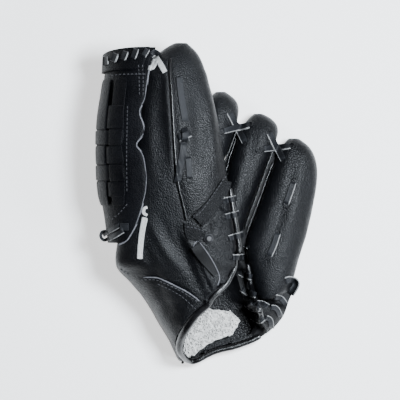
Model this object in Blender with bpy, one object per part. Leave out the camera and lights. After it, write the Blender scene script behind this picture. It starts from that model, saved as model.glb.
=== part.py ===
"""A fielding glove, folded shut and lying on the backs of its finger stalls.

X runs from the web to the little finger, Y from the wrist to the fingertips, Z up from the surface that
it lies on. Metres. The hand shell is the thumb stall and the thumb side of the hand in one hollow form.
Every hollow form is a loft through sections across Y. Laces, bindings and straps are laid on these forms,
so they follow them when a size changes.
"""
import math

import bmesh
import bpy
from mathutils import Matrix, Vector

# Hand shell: thumb stall and thumb side of the hand
HAND_LENGTH = 0.306
HAND_WIDTH = 0.166
THUMB_DEPTH = 0.0545
HAND_LEFT = -0.088
WRIST_Y = -0.153
SHELL_WALL = 0.0028
CAVITY_REACH = 0.020
ENTRY_MARGIN = 0.006
ENTRY_LOW = 0.18
ENTRY_HIGH = 0.80

# Finger stalls
INDEX_LENGTH = 0.192
INDEX_WIDTH = 0.048
INDEX_LEFT = -0.0575
MIDDLE_LENGTH = 0.162
MIDDLE_WIDTH = 0.056
MIDDLE_LEFT = -0.0252
RING_LENGTH = 0.1415
RING_WIDTH = 0.0627
RING_LEFT = 0.0052
PINKY_LENGTH = 0.1525
PINKY_WIDTH = 0.0679
PINKY_LEFT = 0.0375
STALL_DEPTH = 0.040
STALL_WALL = 0.0026
POCKET_GAP = 0.0045
HAND_DEPTH = STALL_DEPTH + POCKET_GAP + THUMB_DEPTH

# Web
WEB_ON_HAND = (0.3824, 0.9608)
WEB_BULGE = 0.0470
WEB_TOP_RISE = 0.0085
WEB_WALL = 0.0028
WEB_STRAP_THICK = 0.0014
WEAVE_LIFT = 0.0009
WEAVE_GAP = 0.0007
BAND_THICK = 0.0016

# Rolled edges, beads and laces
BINDING_RADIUS = 0.0030
HEEL_EDGE_RADIUS = 0.0026
PIPING_RADIUS = 0.0013
GAP_PIPING_RADIUS = 0.0009
LACE_WIDTH = 0.0058
LACE_THICK = 0.0016
STRAP_THICK = 0.0020
POCKET_BAND_WIDTHS = (0.0095, 0.0115, 0.0125, 0.0135, 0.0145)
WRIST_STRAP_WIDTHS = (0.0105, 0.0118, 0.0118, 0.0110)
SNAP_RADIUS = 0.0048
SNAP_HEIGHT = 0.0036
FLEECE_LENGTH = 0.043
FLEECE_WIDTH = 0.049
FLEECE_DEPTH = 0.0070
FLEECE_LIFT = 0.0006

# Where the stalls' feet stand on the hand shell, as shares of its length
SHOULDER = 0.322
HEEL = 0.208

# Hand opening and clearances
MOUTH_MARGIN = 0.006
MOUTH_SIDE = 0.004
MOUTH_STEP = 0.200
MOUTH_FLOOR = 0.014
GAP = 0.0003
REST_PRESS = 0.0015
LACE_LIFT = 0.0007
CORD_CLEARANCE = 0.0009
WRAP_REACH = 0.65
AROUND_HAND = 24
HAND_START = 0.014
AROUND_STALL = 16
TUBE_SIDES = 8
BEAD_SIDES = 6

LEATHER = ((0.022, 0.023, 0.027, 1.0), 0.46)
GLOSS_LEATHER = ((0.012, 0.012, 0.014, 1.0), 0.28)
LACE_LEATHER = ((0.045, 0.047, 0.052, 1.0), 0.50)
LACE_BACK = ((0.78, 0.78, 0.76, 1.0), 0.75)
FLEECE_WOOL = ((0.86, 0.85, 0.82, 1.0), 0.95)
SNAP_METAL = ((0.03, 0.03, 0.035, 1.0), 0.30)

# Sections: along the length; left and right edge as shares of the width; low and high as shares of the
# depth; crown across the section; height of the widest line; roundness of the upper right quarter.
HEEL_SECTIONS = (
    (0.000, 0.394, 0.463, 0.06, 0.24, 0.50, 0.50, 2.0),
    (0.022, 0.354, 0.510, 0.02, 0.36, 0.48, 0.48, 2.0),
    (0.043, 0.337, 0.560, 0.00, 0.47, 0.38, 0.42, 2.0),
    (0.062, 0.320, 0.714, 0.00, 0.55, 0.26, 0.35, 1.8),
    (0.090, 0.297, 0.845, 0.00, 0.62, 0.23, 0.26, 1.4),
    (0.133, 0.240, 0.943, 0.00, 0.71, 0.27, 0.24, 1.3),
    (0.165, 0.211, 0.972, 0.00, 0.75, 0.35, 0.24, 1.3),
    (0.181, 0.194, 0.960, 0.00, 0.77, 0.40, 0.24, 1.4),
    (0.192, 0.183, 0.880, 0.00, 0.78, 0.48, 0.30, 1.6),
    (0.205, 0.169, 0.780, 0.00, 0.79, 0.56, 0.40, 2.0),
    (0.233, 0.131, 0.757, 0.00, 0.82, 0.60, 0.44, 2.1),
    (0.273, 0.063, 0.743, 0.00, 0.85, 0.63, 0.49, 2.2),
    (0.295, 0.017, 0.731, 0.01, 0.86, 0.63, 0.50, 2.2),
)

# Thumb sections: the same, but low and high are shares of the thumb's depth above the pocket.
THUMB_SECTIONS = (
    (0.316, 0.006, 0.720, -0.054, 0.764, 0.62, 0.50, 2.2),
    (0.341, 0.000, 0.714, 0.001, 0.782, 0.61, 0.50, 2.2),
    (0.437, 0.029, 0.697, 0.001, 0.855, 0.58, 0.50, 2.2),
    (0.499, 0.069, 0.674, 0.019, 0.909, 0.53, 0.50, 2.2),
    (0.577, 0.097, 0.646, 0.037, 0.964, 0.48, 0.50, 2.2),
    (0.670, 0.109, 0.623, 0.055, 1.000, 0.45, 0.50, 2.2),
    (0.856, 0.149, 0.549, 0.128, 0.964, 0.43, 0.50, 2.2),
    (0.924, 0.177, 0.514, 0.183, 0.873, 0.43, 0.50, 2.2),
    (0.967, 0.240, 0.480, 0.255, 0.764, 0.45, 0.50, 2.0),
    (0.992, 0.309, 0.429, 0.364, 0.655, 0.50, 0.50, 2.0),
    (1.000, 0.349, 0.411, 0.455, 0.582, 0.50, 0.50, 2.0),
)

# Stall sections: along the length; left and right edge as shares of the width; low and high as shares
# of the depth.
INDEX_SECTIONS = (
    (0.000, 0.06, 0.61, 0.02, 0.97),
    (0.110, 0.00, 0.59, 0.00, 1.00),
    (0.500, 0.06, 0.75, 0.00, 0.97),
    (0.700, 0.14, 0.92, 0.00, 0.95),
    (0.850, 0.20, 1.00, 0.00, 0.90),
    (0.930, 0.26, 0.96, 0.05, 0.82),
    (0.975, 0.39, 0.82, 0.12, 0.70),
    (1.000, 0.53, 0.71, 0.25, 0.55),
)
MIDDLE_SECTIONS = (
    (0.000, 0.02, 0.49, 0.02, 0.97),
    (0.130, 0.00, 0.47, 0.00, 1.00),
    (0.360, 0.05, 0.54, 0.00, 1.00),
    (0.540, 0.14, 0.66, 0.00, 0.97),
    (0.655, 0.20, 0.80, 0.00, 0.97),
    (0.770, 0.29, 0.92, 0.00, 0.95),
    (0.877, 0.36, 1.00, 0.00, 0.93),
    (0.942, 0.42, 0.97, 0.05, 0.82),
    (0.977, 0.51, 0.85, 0.12, 0.70),
    (1.000, 0.59, 0.75, 0.25, 0.55),
)
RING_SECTIONS = (
    (0.000, 0.015, 0.42, 0.02, 0.97),
    (0.150, 0.000, 0.42, 0.00, 1.00),
    (0.282, 0.030, 0.500, 0.00, 1.00),
    (0.416, 0.090, 0.620, 0.00, 1.00),
    (0.550, 0.180, 0.727, 0.00, 0.97),
    (0.685, 0.258, 0.833, 0.00, 0.95),
    (0.785, 0.333, 0.924, 0.00, 0.93),
    (0.866, 0.394, 1.000, 0.00, 0.90),
    (0.926, 0.455, 0.985, 0.03, 0.82),
    (0.973, 0.545, 0.879, 0.10, 0.70),
    (1.000, 0.621, 0.742, 0.23, 0.55),
)
PINKY_SECTIONS = (
    (0.000, 0.155, 0.400, 0.02, 0.90),
    (0.025, 0.130, 0.520, 0.01, 0.95),
    (0.062, 0.090, 0.615, 0.00, 0.98),
    (0.155, 0.050, 0.685, 0.00, 1.00),
    (0.237, 0.000, 0.727, 0.00, 1.00),
    (0.310, -0.030, 0.780, 0.00, 1.00),
    (0.374, -0.015, 0.825, 0.00, 1.00),
    (0.430, 0.030, 0.860, 0.00, 0.99),
    (0.498, 0.085, 0.895, 0.00, 0.98),
    (0.623, 0.196, 0.958, 0.00, 0.95),
    (0.747, 0.294, 1.000, 0.00, 0.93),
    (0.841, 0.378, 0.993, 0.00, 0.88),
    (0.922, 0.448, 0.937, 0.02, 0.80),
    (0.972, 0.517, 0.825, 0.10, 0.68),
    (1.000, 0.587, 0.727, 0.22, 0.54),
)
FLEECE_SECTIONS = (
    (0.000, 0.08, 0.20, 0.10, 0.60),
    (0.080, 0.04, 0.40, 0.04, 0.85),
    (0.250, 0.04, 0.75, 0.00, 1.00),
    (0.500, 0.12, 0.92, 0.00, 1.00),
    (0.750, 0.24, 0.84, 0.00, 1.00),
    (0.930, 0.34, 0.70, 0.00, 0.85),
    (1.000, 0.42, 0.62, 0.10, 0.50),
)

# Web sections: along the web; left bulge as a share of it; how far the upper edge laps over the thumb
# side of the hand shell and how far it ruffles there, as shares of the bulge.
WEB_SECTIONS = (
    (0.000, 0.80, 0.18, 0.00),
    (0.040, 0.82, 0.28, 0.00),
    (0.110, 0.86, 0.34, 0.00),
    (0.180, 0.90, 0.33, 0.00),
    (0.255, 0.95, 0.34, 0.00),
    (0.325, 0.98, 0.32, 0.00),
    (0.385, 0.99, 0.28, 0.00),
    (0.470, 1.00, 0.22, 0.00),
    (0.525, 1.00, 0.20, -0.15),
    (0.585, 1.00, 0.19, 0.00),
    (0.635, 0.99, 0.17, -0.02),
    (0.700, 0.96, 0.14, -0.10),
    (0.770, 0.92, 0.12, 0.00),
    (0.840, 0.90, 0.11, 0.00),
    (0.900, 0.87, 0.10, 0.00),
    (0.960, 0.86, 0.06, 0.00),
    (1.000, 0.85, 0.02, 0.00),
)
WEB_LOW_EDGE = 0.25
WEB_BELLY = 0.48
WEB_STEEPEST = 2.2
WEB_RUFFLE_REACH = 0.20

# Rim of the hand opening on the hand shell: along, across, bead radius as a share of the binding's
HEEL_ROLL = (
    (0.552, 0.96, 0.80),
    (0.496, 0.94, 0.92),
    (0.428, 0.94, 1.00),
    (0.391, 0.95, 1.00),
    (0.360, 0.95, 1.00),
)
NEAR_RIM = (
    (0.335, 0.94, 1.00),
    (0.304, 0.90, 1.00),
    (0.280, 0.79, 1.00),
    (0.255, 0.67, 1.00),
    (0.230, 0.46, 1.00),
    (0.208, 0.26, 1.05),
    (0.190, -0.02, 1.15),
    (0.165, -0.31, 1.30),
    (0.134, -0.46, 1.45),
    (0.103, -0.62, 1.45),
    (0.064, -0.78, 1.30),
    (0.034, -0.70, 1.15),
)
FAR_RIM = (
    (0.014, -0.10, 1.05),
    (0.016, 0.60, 1.00),
    (0.033, 0.90, 1.00),
    (0.048, 0.94, 1.00),
    (0.057, 0.96, 1.00),
    (0.068, 0.96, 1.00),
    (0.084, 0.96, 0.95),
    (0.102, 0.96, 0.90),
)
HEEL_EDGE_ON_PINKY = (
    (0.225, -0.90),
    (0.150, -0.92),
    (0.080, -0.94),
)
HEEL_EDGE_ON_HAND = (
    (0.183, 0.66),
    (0.160, 0.64),
    (0.138, 0.68),
)

# Seams and laces as places on a form: along, across
THUMB_SEAM = (
    (0.452, 0.14),
    (0.480, 0.11),
    (0.515, 0.05),
    (0.561, -0.02),
    (0.600, -0.05),
    (0.640, -0.07),
    (0.710, -0.09),
    (0.770, -0.10),
    (0.825, -0.11),
    (0.875, -0.13),
    (0.918, -0.17),
    (0.950, -0.22),
)
LACES_ON_HAND = (
    ("thumb_lace_upper_tail", "front", ((0.896, 0.15), (0.825, 0.14), (0.752, 0.20))),
    ("thumb_lace_lower_tail", "front", ((0.700, 0.13), (0.640, 0.05), (0.566, -0.05))),
    ("thumb_lace_knot", "front", ((0.708, 0.02), (0.722, 0.18), (0.733, 0.34))),
    ("thumb_lace_dash", "front", ((0.652, 0.20), (0.615, 0.22), (0.578, 0.22))),
    ("web_lace_white_tail", "back", ((0.468, -0.60), (0.430, -0.61), (0.385, -0.61), (0.334, -0.60))),
    ("web_top_tail_long", "back", ((0.946, -0.60), (0.928, -0.50), (0.906, -0.38))),
)
FINGER_LACES = (
    ("finger_lace_a_under", "middle", (0.763, 0.32), "ring", (0.923, -0.57)),
    ("finger_lace_a_over", "middle", (0.880, 0.40), "ring", (0.792, -0.49)),
    ("finger_lace_b_under", "ring", (0.756, 0.48), "pinky", (0.957, -0.27)),
    ("finger_lace_b_over", "ring", (0.875, 0.49), "pinky", (0.861, -0.60)),
)
PINKY_DASHES = (
    ("pinky_lace_dash_1", ((0.738, 0.03), (0.665, 0.00), (0.600, -0.04))),
    ("pinky_lace_dash_2", ((0.405, -0.05), (0.335, -0.11), (0.270, -0.19))),
)
HEEL_ROLL_LACES = (0.10, 0.22, 0.36, 0.69)
HEEL_EDGE_LACES = (0.20, 0.43, 0.90)
POCKET_BAND = ((0.575, 0.97), (0.555, 0.90), (0.505, 0.66), (0.474, 0.47), (0.450, 0.33))
WRIST_STRAP = ((0.376, 0.29), (0.350, 0.39), (0.322, 0.50), (0.290, 0.60))
PALM_FLAP = ((0.432, 0.30), (0.415, 0.27), (0.392, 0.25))
PALM_FLAP_WIDTHS = (0.024, 0.019, 0.011)
SNAP_PLACE = (0.397, 0.51)
FLEECE_PLACE = (0.068, 0.425)
WEB_DOWN_STRAPS = ((0.140, 0.250), (0.290, 0.460))
WEB_CROSS_STRAPS = ((0.250, 0.325), (0.335, 0.415), (0.425, 0.515), (0.525, 0.600), (0.610, 0.730))


def material(name, finish, metallic=0.0):
    """Makes a Principled material with one colour and roughness."""
    made = bpy.data.materials.new(name)
    made.use_nodes = True
    shader = made.node_tree.nodes["Principled BSDF"]
    shader.inputs["Base Color"].default_value = finish[0]
    shader.inputs["Roughness"].default_value = finish[1]
    shader.inputs["Metallic"].default_value = metallic
    return made


def add_object(name, bm, finish, metallic=0.0):
    """Turns a closed bmesh into a named object with faces that point out."""
    bmesh.ops.recalc_face_normals(bm, faces=bm.faces[:])
    if bm.calc_volume(signed=True) < 0:
        bmesh.ops.reverse_faces(bm, faces=bm.faces[:])
    mesh = bpy.data.meshes.new(name)
    bm.to_mesh(mesh)
    bm.free()
    mesh.shade_smooth()
    mesh.set_sharp_from_angle(angle=math.radians(50))
    obj = bpy.data.objects.new(name, mesh)
    obj.data.materials.append(material(name + "_finish", finish, metallic))
    bpy.context.collection.objects.link(obj)
    return obj


def cut(target, bm, name):
    """Subtracts a closed bmesh from the target with an exact Boolean and deletes the cutter."""
    cutter = add_object(name, bm, LEATHER)
    modifier = target.modifiers.new(name, "BOOLEAN")
    modifier.operation = "DIFFERENCE"
    modifier.solver = "EXACT"
    modifier.object = cutter
    bpy.context.view_layer.update()
    done = bpy.data.meshes.new_from_object(target.evaluated_get(bpy.context.evaluated_depsgraph_get()))
    target.modifiers.clear()
    target.data = done
    bpy.data.objects.remove(cutter)


def bridge(bm, rings):
    """Joins rings of as many vertices each into a closed skin with flat end caps."""
    for first, second in zip(rings, rings[1:]):
        count = len(first)
        for i in range(count):
            j = (i + 1) % count
            bm.faces.new((first[i], first[j], second[j], second[i]))
    bm.faces.new(rings[0])
    bm.faces.new(list(reversed(rings[-1])))


def rings_mesh(rings):
    """Makes a bmesh through rings of points."""
    bm = bmesh.new()
    bridge(bm, [[bm.verts.new(point) for point in ring] for ring in rings])
    return bm


class Form:
    """A leather form lofted through sections across Y, with its upper skin as a height field."""

    def __init__(self, left, foot, length, width, depth, rows, floor=0.0):
        self.left = left
        self.foot = foot
        self.length = length
        self.width = width
        self.depth = depth
        self.floor = floor
        self.rows = [row if len(row) > 5 else row + (0.5, 0.5, 2.2) for row in rows]

    def raw(self, along):
        """Gives edges, heights, crown, widest height and roundness at a share of the length."""
        rows = self.rows
        along = min(max(along, 0.0), 1.0)
        for a, b in zip(rows, rows[1:]):
            if along <= b[0]:
                f = (along - a[0]) / (b[0] - a[0])
                mixed = [p + (q - p) * f for p, q in zip(a, b)]
                break
        left = self.left + mixed[1] * self.width
        right = self.left + mixed[2] * self.width
        low = self.floor + mixed[3] * self.depth
        high = self.floor + mixed[4] * self.depth
        return [left, right, low, high, mixed[5], mixed[6], mixed[7]]

    def section(self, along, inset=0.0):
        """Gives a section, or one set in by a wall that also holds along the length."""
        here = self.raw(along)
        if inset:
            step = inset / self.length
            near = [self.raw(along + step * k) for k in (-1.0, 0.0, 1.0)]
            here[0] = max(row[0] for row in near) + inset
            here[1] = min(row[1] for row in near) - inset
            here[2] = max(row[2] for row in near) + inset
            here[3] = min(row[3] for row in near) - inset
        return here

    def y_at(self, along):
        return self.foot + along * self.length

    def ring(self, along, count, inset=0.0):
        """Gives the points of one section: quarter arcs that meet at the crown and the widest line."""
        left, right, low, high, crown, side, fullness = self.section(along, inset)
        crown_x = left + crown * (right - left)
        middle = (left + right) / 2
        side_z = low + side * (high - low)
        points = []
        for i in range(count):
            angle = 2 * math.pi * i / count
            c, s = math.cos(angle), math.sin(angle)
            upper = s >= -1e-9
            centre = crown_x if upper else middle
            reach = (right - centre) if c >= 0 else (centre - left)
            power = (fullness if c >= 0 else 2.2) if upper else 3.2
            rise = (high - side_z) if upper else (side_z - low + REST_PRESS)
            x = centre + math.copysign(abs(c) ** (2 / power), c) * reach
            z = max(side_z + math.copysign(abs(s) ** (2 / power), s) * rise, low)
            points.append(Vector((x, self.y_at(along), z)))
        return points

    def skin(self, count, inset=0.0, start=0.0, end=1.0):
        """Gives a closed loft of the whole form, or of its cavity when it is inset."""
        stops = [row[0] for row in self.rows if start < row[0] < end]
        stops = [start] + stops + [end]
        return rings_mesh([self.ring(along, count, inset) for along in stops])

    def x_at(self, along, across):
        left, right = self.section(along)[:2]
        return (left + right) / 2 + across * (right - left) / 2

    def height(self, x, y):
        """Gives the height of the upper skin over a place, or None beside the form."""
        along = (y - self.foot) / self.length
        if along < 0 or along > 1:
            return None
        left, right = self.section(along)[:2]
        if x < left or x > right:
            return None
        return self.surface(x, along)

    def surface(self, x, along):
        """Gives the height of the upper skin at a share of the length, at its edge if x is past it."""
        left, right, low, high, crown, side, fullness = self.section(along)
        crown_x = left + crown * (right - left)
        side_z = low + side * (high - low)
        if x >= crown_x:
            share, power = (x - crown_x) / (right - crown_x), fullness
        else:
            share, power = (crown_x - x) / (crown_x - left), 2.2
        return side_z + (high - side_z) * max(0.0, 1 - share ** power) ** (1 / power)

    def place(self, along, across):
        """Gives a point of the upper skin by its shares."""
        x, y = self.x_at(along, across), self.y_at(along)
        return Vector((x, y, self.surface(x, along)))

    def normal(self, along, across):
        """Gives the outward direction of the upper skin at a place."""
        step = 0.004
        ahead = self.place(along + step, across) - self.place(along - step, across)
        aside = self.place(along, across + step) - self.place(along, across - step)
        out = aside.cross(ahead)
        return out.normalized()

    def lifted(self, along, across, lift):
        return self.place(along, across) + self.normal(along, across) * lift


def smooth_path(points, count):
    """Runs a Catmull-Rom curve through points and gives evenly shared samples."""
    ends = [points[0] * 2 - points[1]] + list(points) + [points[-1] * 2 - points[-2]]
    spans = len(points) - 1
    samples = []
    for k in range(count):
        place = spans * k / (count - 1)
        i = min(int(place), spans - 1)
        t = place - i
        a, b, c, d = ends[i:i + 4]
        samples.append(0.5 * (2 * b + (c - a) * t + (2 * a - 5 * b + 4 * c - d) * t * t
                              + (3 * b - a - 3 * c + d) * t ** 3))
    return samples


def tube_rings(points, radii, sides):
    """Gives rings of a round cord along points, each ring square to the path."""
    rings = []
    side = None
    for i, point in enumerate(points):
        tangent = (points[min(i + 1, len(points) - 1)] - points[max(i - 1, 0)]).normalized()
        if side is None:
            side = tangent.cross(Vector((0, 0, 1))).normalized()
        side = (side - tangent * side.dot(tangent)).normalized()
        up = side.cross(tangent)
        ring = []
        for k in range(sides):
            angle = 2 * math.pi * (k + 0.5) / sides
            ring.append(point + (side * math.cos(angle) + up * math.sin(angle)) * radii[i])
        rings.append(ring)
    return rings


def tube(name, points, radii, sides, finish):
    return add_object(name, rings_mesh(tube_rings(points, radii, sides)), finish)


def slab(name, top, thick, finish):
    """Makes a closed sheet under a grid of points, its thickness square to the grid."""
    rows, columns = len(top), len(top[0])
    bm = bmesh.new()
    upper = [[bm.verts.new(p) for p in row] for row in top]
    lower = []
    for i in range(rows):
        made = []
        for j in range(columns):
            ahead = top[min(i + 1, rows - 1)][j] - top[max(i - 1, 0)][j]
            aside = top[i][min(j + 1, columns - 1)] - top[i][max(j - 1, 0)]
            made.append(bm.verts.new(top[i][j] - aside.cross(ahead).normalized() * thick))
        lower.append(made)
    for i in range(rows - 1):
        for j in range(columns - 1):
            bm.faces.new((upper[i][j], upper[i][j + 1], upper[i + 1][j + 1], upper[i + 1][j]))
            bm.faces.new((lower[i][j], lower[i + 1][j], lower[i + 1][j + 1], lower[i][j + 1]))
    rim = [(0, j) for j in range(columns)] + [(i, columns - 1) for i in range(1, rows)]
    rim += [(rows - 1, j) for j in range(columns - 2, -1, -1)] + [(i, 0) for i in range(rows - 2, 0, -1)]
    for (a, b), (c, d) in zip(rim, rim[1:] + rim[:1]):
        bm.faces.new((upper[a][b], lower[a][b], lower[c][d], upper[c][d]))
    return add_object(name, bm, finish)


class Bed:
    """What flat laces are laid on: forms, rolled edges and the laces laid before."""

    def __init__(self):
        self.cords = []
        self.laid = []

    def add_cord(self, points, radius):
        """Keeps a rolled edge or bead as part of the bed and gives its path in short steps."""
        dense = smooth_path(points, 8 * len(points))
        self.cords.append((dense, [radius + CORD_CLEARANCE] * len(dense)))
        return dense

    def height(self, forms, x, y):
        """Gives the highest of the forms, cords and laid laces at a place."""
        heights = [form.height(x, y) for form in forms]
        for points, radii in self.cords:
            for p, radius in zip(points, radii):
                away = math.hypot(p.x - x, p.y - y)
                if away < radius:
                    heights.append(p.z + math.sqrt(radius * radius - away * away))
        for points, half in self.laid:
            for p in points:
                if math.hypot(p.x - x, p.y - y) < half:
                    heights.append(p.z)
        found = [h for h in heights if h is not None]
        return max(found) if found else None

    def lay(self, name, forms, route, width, thick, finish, count=8, lift=LACE_LIFT):
        """Lays a flat lace over the bed, taut where nothing is under it, following its slope across."""
        path = smooth_path([Vector((x, y, 0)) for x, y in route], count)
        if isinstance(width, float):
            width = (width,) * len(route)
        widths = [w.x for w in smooth_path([Vector((w, 0, 0)) for w in width], count)]
        grid = []
        for i, point in enumerate(path):
            tangent = (path[min(i + 1, count - 1)] - path[max(i - 1, 0)]).normalized()
            side = tangent.cross(Vector((0, 0, 1))).normalized()
            grid.append([point + side * widths[i] * k for k in (-0.5, 0.0, 0.5)])
        for column in range(3):
            run = [row[column] for row in grid]
            for p in run:
                found = self.height(forms, p.x, p.y)
                p.z = -1.0 if found is None else found
            taut(run)
        for row, wide in zip(grid, widths):
            middle = max(row[1].z, (row[0].z + row[2].z) / 2)
            row[1].z = middle
            for p in row:
                p.z = max(p.z, middle - wide * 0.5) + lift + thick
        self.laid.append(([p.copy() for row in grid for p in row], max(widths) * 0.5))
        return slab(name, grid, thick, finish)


def taut(run):
    """Raises points to the straight spans of a lace that is pulled tight over its high points."""
    reach = [0.0]
    for a, b in zip(run, run[1:]):
        reach.append(reach[-1] + math.hypot(b.x - a.x, b.y - a.y))
    known = [i for i, p in enumerate(run) if p.z > -0.5]
    for i in range(known[0]):
        run[i].z = run[known[0]].z
    for i in range(known[-1] + 1, len(run)):
        run[i].z = run[known[-1]].z
    hull = []
    for i, p in enumerate(run):
        while len(hull) > 1:
            a, b = hull[-2], hull[-1]
            slope = (p.z - run[a].z) / (reach[i] - reach[a])
            if run[b].z > run[a].z + slope * (reach[b] - reach[a]):
                break
            hull.pop()
        hull.append(i)
    for a, b in zip(hull, hull[1:]):
        for i in range(a + 1, b):
            share = (reach[i] - reach[a]) / (reach[b] - reach[a])
            run[i].z = run[a].z + share * (run[b].z - run[a].z)


def make_forms():
    """Gives the hollow forms by name, their feet set on the shoulder of the hand shell."""
    shoulder = WRIST_Y + SHOULDER * HAND_LENGTH
    heel = WRIST_Y + HEEL * HAND_LENGTH
    pocket = STALL_DEPTH + POCKET_GAP
    rows = list(HEEL_SECTIONS)
    for row in THUMB_SECTIONS:
        low, high = [(pocket + share * THUMB_DEPTH) / HAND_DEPTH for share in row[3:5]]
        rows.append(row[:3] + (low, high) + row[5:])
    hand = Form(HAND_LEFT, WRIST_Y, HAND_LENGTH, HAND_WIDTH, HAND_DEPTH, rows)
    index = Form(INDEX_LEFT, shoulder, INDEX_LENGTH, INDEX_WIDTH, STALL_DEPTH, INDEX_SECTIONS)
    middle = Form(MIDDLE_LEFT, shoulder, MIDDLE_LENGTH, MIDDLE_WIDTH, STALL_DEPTH, MIDDLE_SECTIONS)
    ring = Form(RING_LEFT, shoulder, RING_LENGTH, RING_WIDTH, STALL_DEPTH, RING_SECTIONS)
    pinky = Form(PINKY_LEFT, heel, PINKY_LENGTH, PINKY_WIDTH, STALL_DEPTH, PINKY_SECTIONS)
    return {"hand": hand, "index": index, "middle": middle, "ring": ring, "pinky": pinky}


def rim_points(hand):
    """Gives the path and radii of the heel roll, then of the wrist binding."""
    roll = []
    for along, across, share in HEEL_ROLL:
        roll.append(hand.lifted(along, across, BINDING_RADIUS * share + GAP))
    rim = []
    for along, across, share in NEAR_RIM:
        rim.append(hand.lifted(along, across, -SHELL_WALL / 2))
    for along, across, share in FAR_RIM:
        point = hand.place(along, across)
        point.z = MOUTH_FLOOR
        rim.append(point)
    radii = [BINDING_RADIUS * row[2] for row in HEEL_ROLL + NEAR_RIM + FAR_RIM]
    points = roll + rim
    count = 2 * len(points) - 1
    path = smooth_path(points, count)
    spread = smooth_path([Vector((r, 0, 0)) for r in radii], count)
    return path, [s.x for s in spread]


def heel_edge_path(forms):
    """Gives the path of the laced heel edge, from the pinky stall's flank on to the hand shell."""
    pinky, hand = forms["pinky"], forms["hand"]
    places = [pinky.lifted(a, c, HEEL_EDGE_RADIUS + GAP) for a, c in HEEL_EDGE_ON_PINKY]
    places += [hand.lifted(a, c, HEEL_EDGE_RADIUS * 0.5) for a, c in HEEL_EDGE_ON_HAND]
    return smooth_path(places, 16)


def mouth_cutter(path, hand):
    """Gives the prism that opens the near wall at the wrist, bounded by the rim and the heel edge."""
    start = 2 * len(HEEL_ROLL)
    near = path[start:start + 2 * len(NEAR_RIM) - 1]
    outline = [(p.x, p.y) for p in near]
    tip = near[-1]
    far = hand.y_at(-0.04)
    side = hand.place(*HEEL_EDGE_ON_HAND[-1]).x + MOUTH_MARGIN
    outline += [(tip.x + MOUTH_MARGIN / 3, far), (side, far), (side, hand.y_at(0.11))]
    for along, across in reversed(HEEL_EDGE_ON_HAND):
        place = hand.place(along, across)
        outline.append((place.x, place.y))
    right = hand.x_at(0.25, 1.0) + MOUTH_SIDE
    outline += [(right, hand.y_at(MOUTH_STEP)), (right, near[0].y)]
    rings = [[Vector((x, y, z)) for x, y in outline] for z in (MOUTH_FLOOR, HAND_DEPTH * 1.3)]
    return rings_mesh(rings)


def make_hand(forms, path, radii):
    """Makes the hollow hand shell, opens its mouth and lets the stalls into its cavity."""
    hand = forms["hand"]
    shell = add_object("hand_shell", hand.skin(AROUND_HAND, 0.0, HAND_START), LEATHER)
    step = 1.6 * SHELL_WALL / HAND_LENGTH
    cut(shell, hand.skin(AROUND_HAND, SHELL_WALL, HAND_START + step, 1 - step), "hand_cavity")
    for name in ("index", "middle", "ring", "pinky"):
        stall = forms[name]
        left, right = stall.section(0.02, ENTRY_MARGIN)[:2]
        low, high = ENTRY_LOW * STALL_DEPTH, ENTRY_HIGH * STALL_DEPTH
        ends = (stall.foot - CAVITY_REACH, stall.foot + ENTRY_MARGIN)
        corners = ((left, low), (right, low), (right, high), (left, high))
        rings = [[Vector((x, y, z)) for x, z in corners] for y in ends]
        cut(shell, rings_mesh(rings), name + "_entry")
    cut(shell, mouth_cutter(path, hand), "mouth")
    first = 2 * len(HEEL_ROLL) - 2
    flats = math.cos(math.pi / TUBE_SIDES)
    rim = tube_rings(path[first:], [(r + GAP) / flats for r in radii[first:]], TUBE_SIDES)
    cut(shell, rings_mesh(rim), "rim_seat")
    edge = heel_edge_path(forms)
    edge.append(edge[-1] * 2 - edge[-2])
    seat = tube_rings(edge, [(HEEL_EDGE_RADIUS + GAP) / flats] * len(edge), TUBE_SIDES)
    cut(shell, rings_mesh(seat), "heel_edge_seat")
    return shell


def make_stall(name, form):
    """Makes a hollow finger stall, open at its foot and closed at its tip."""
    stall = add_object("finger_stall_" + name, form.skin(AROUND_STALL), LEATHER)
    tip = 1 - 1.6 * STALL_WALL / form.length
    cut(stall, form.skin(AROUND_STALL, STALL_WALL, -CAVITY_REACH / form.length, tip), name + "_cavity")
    return stall


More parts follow.
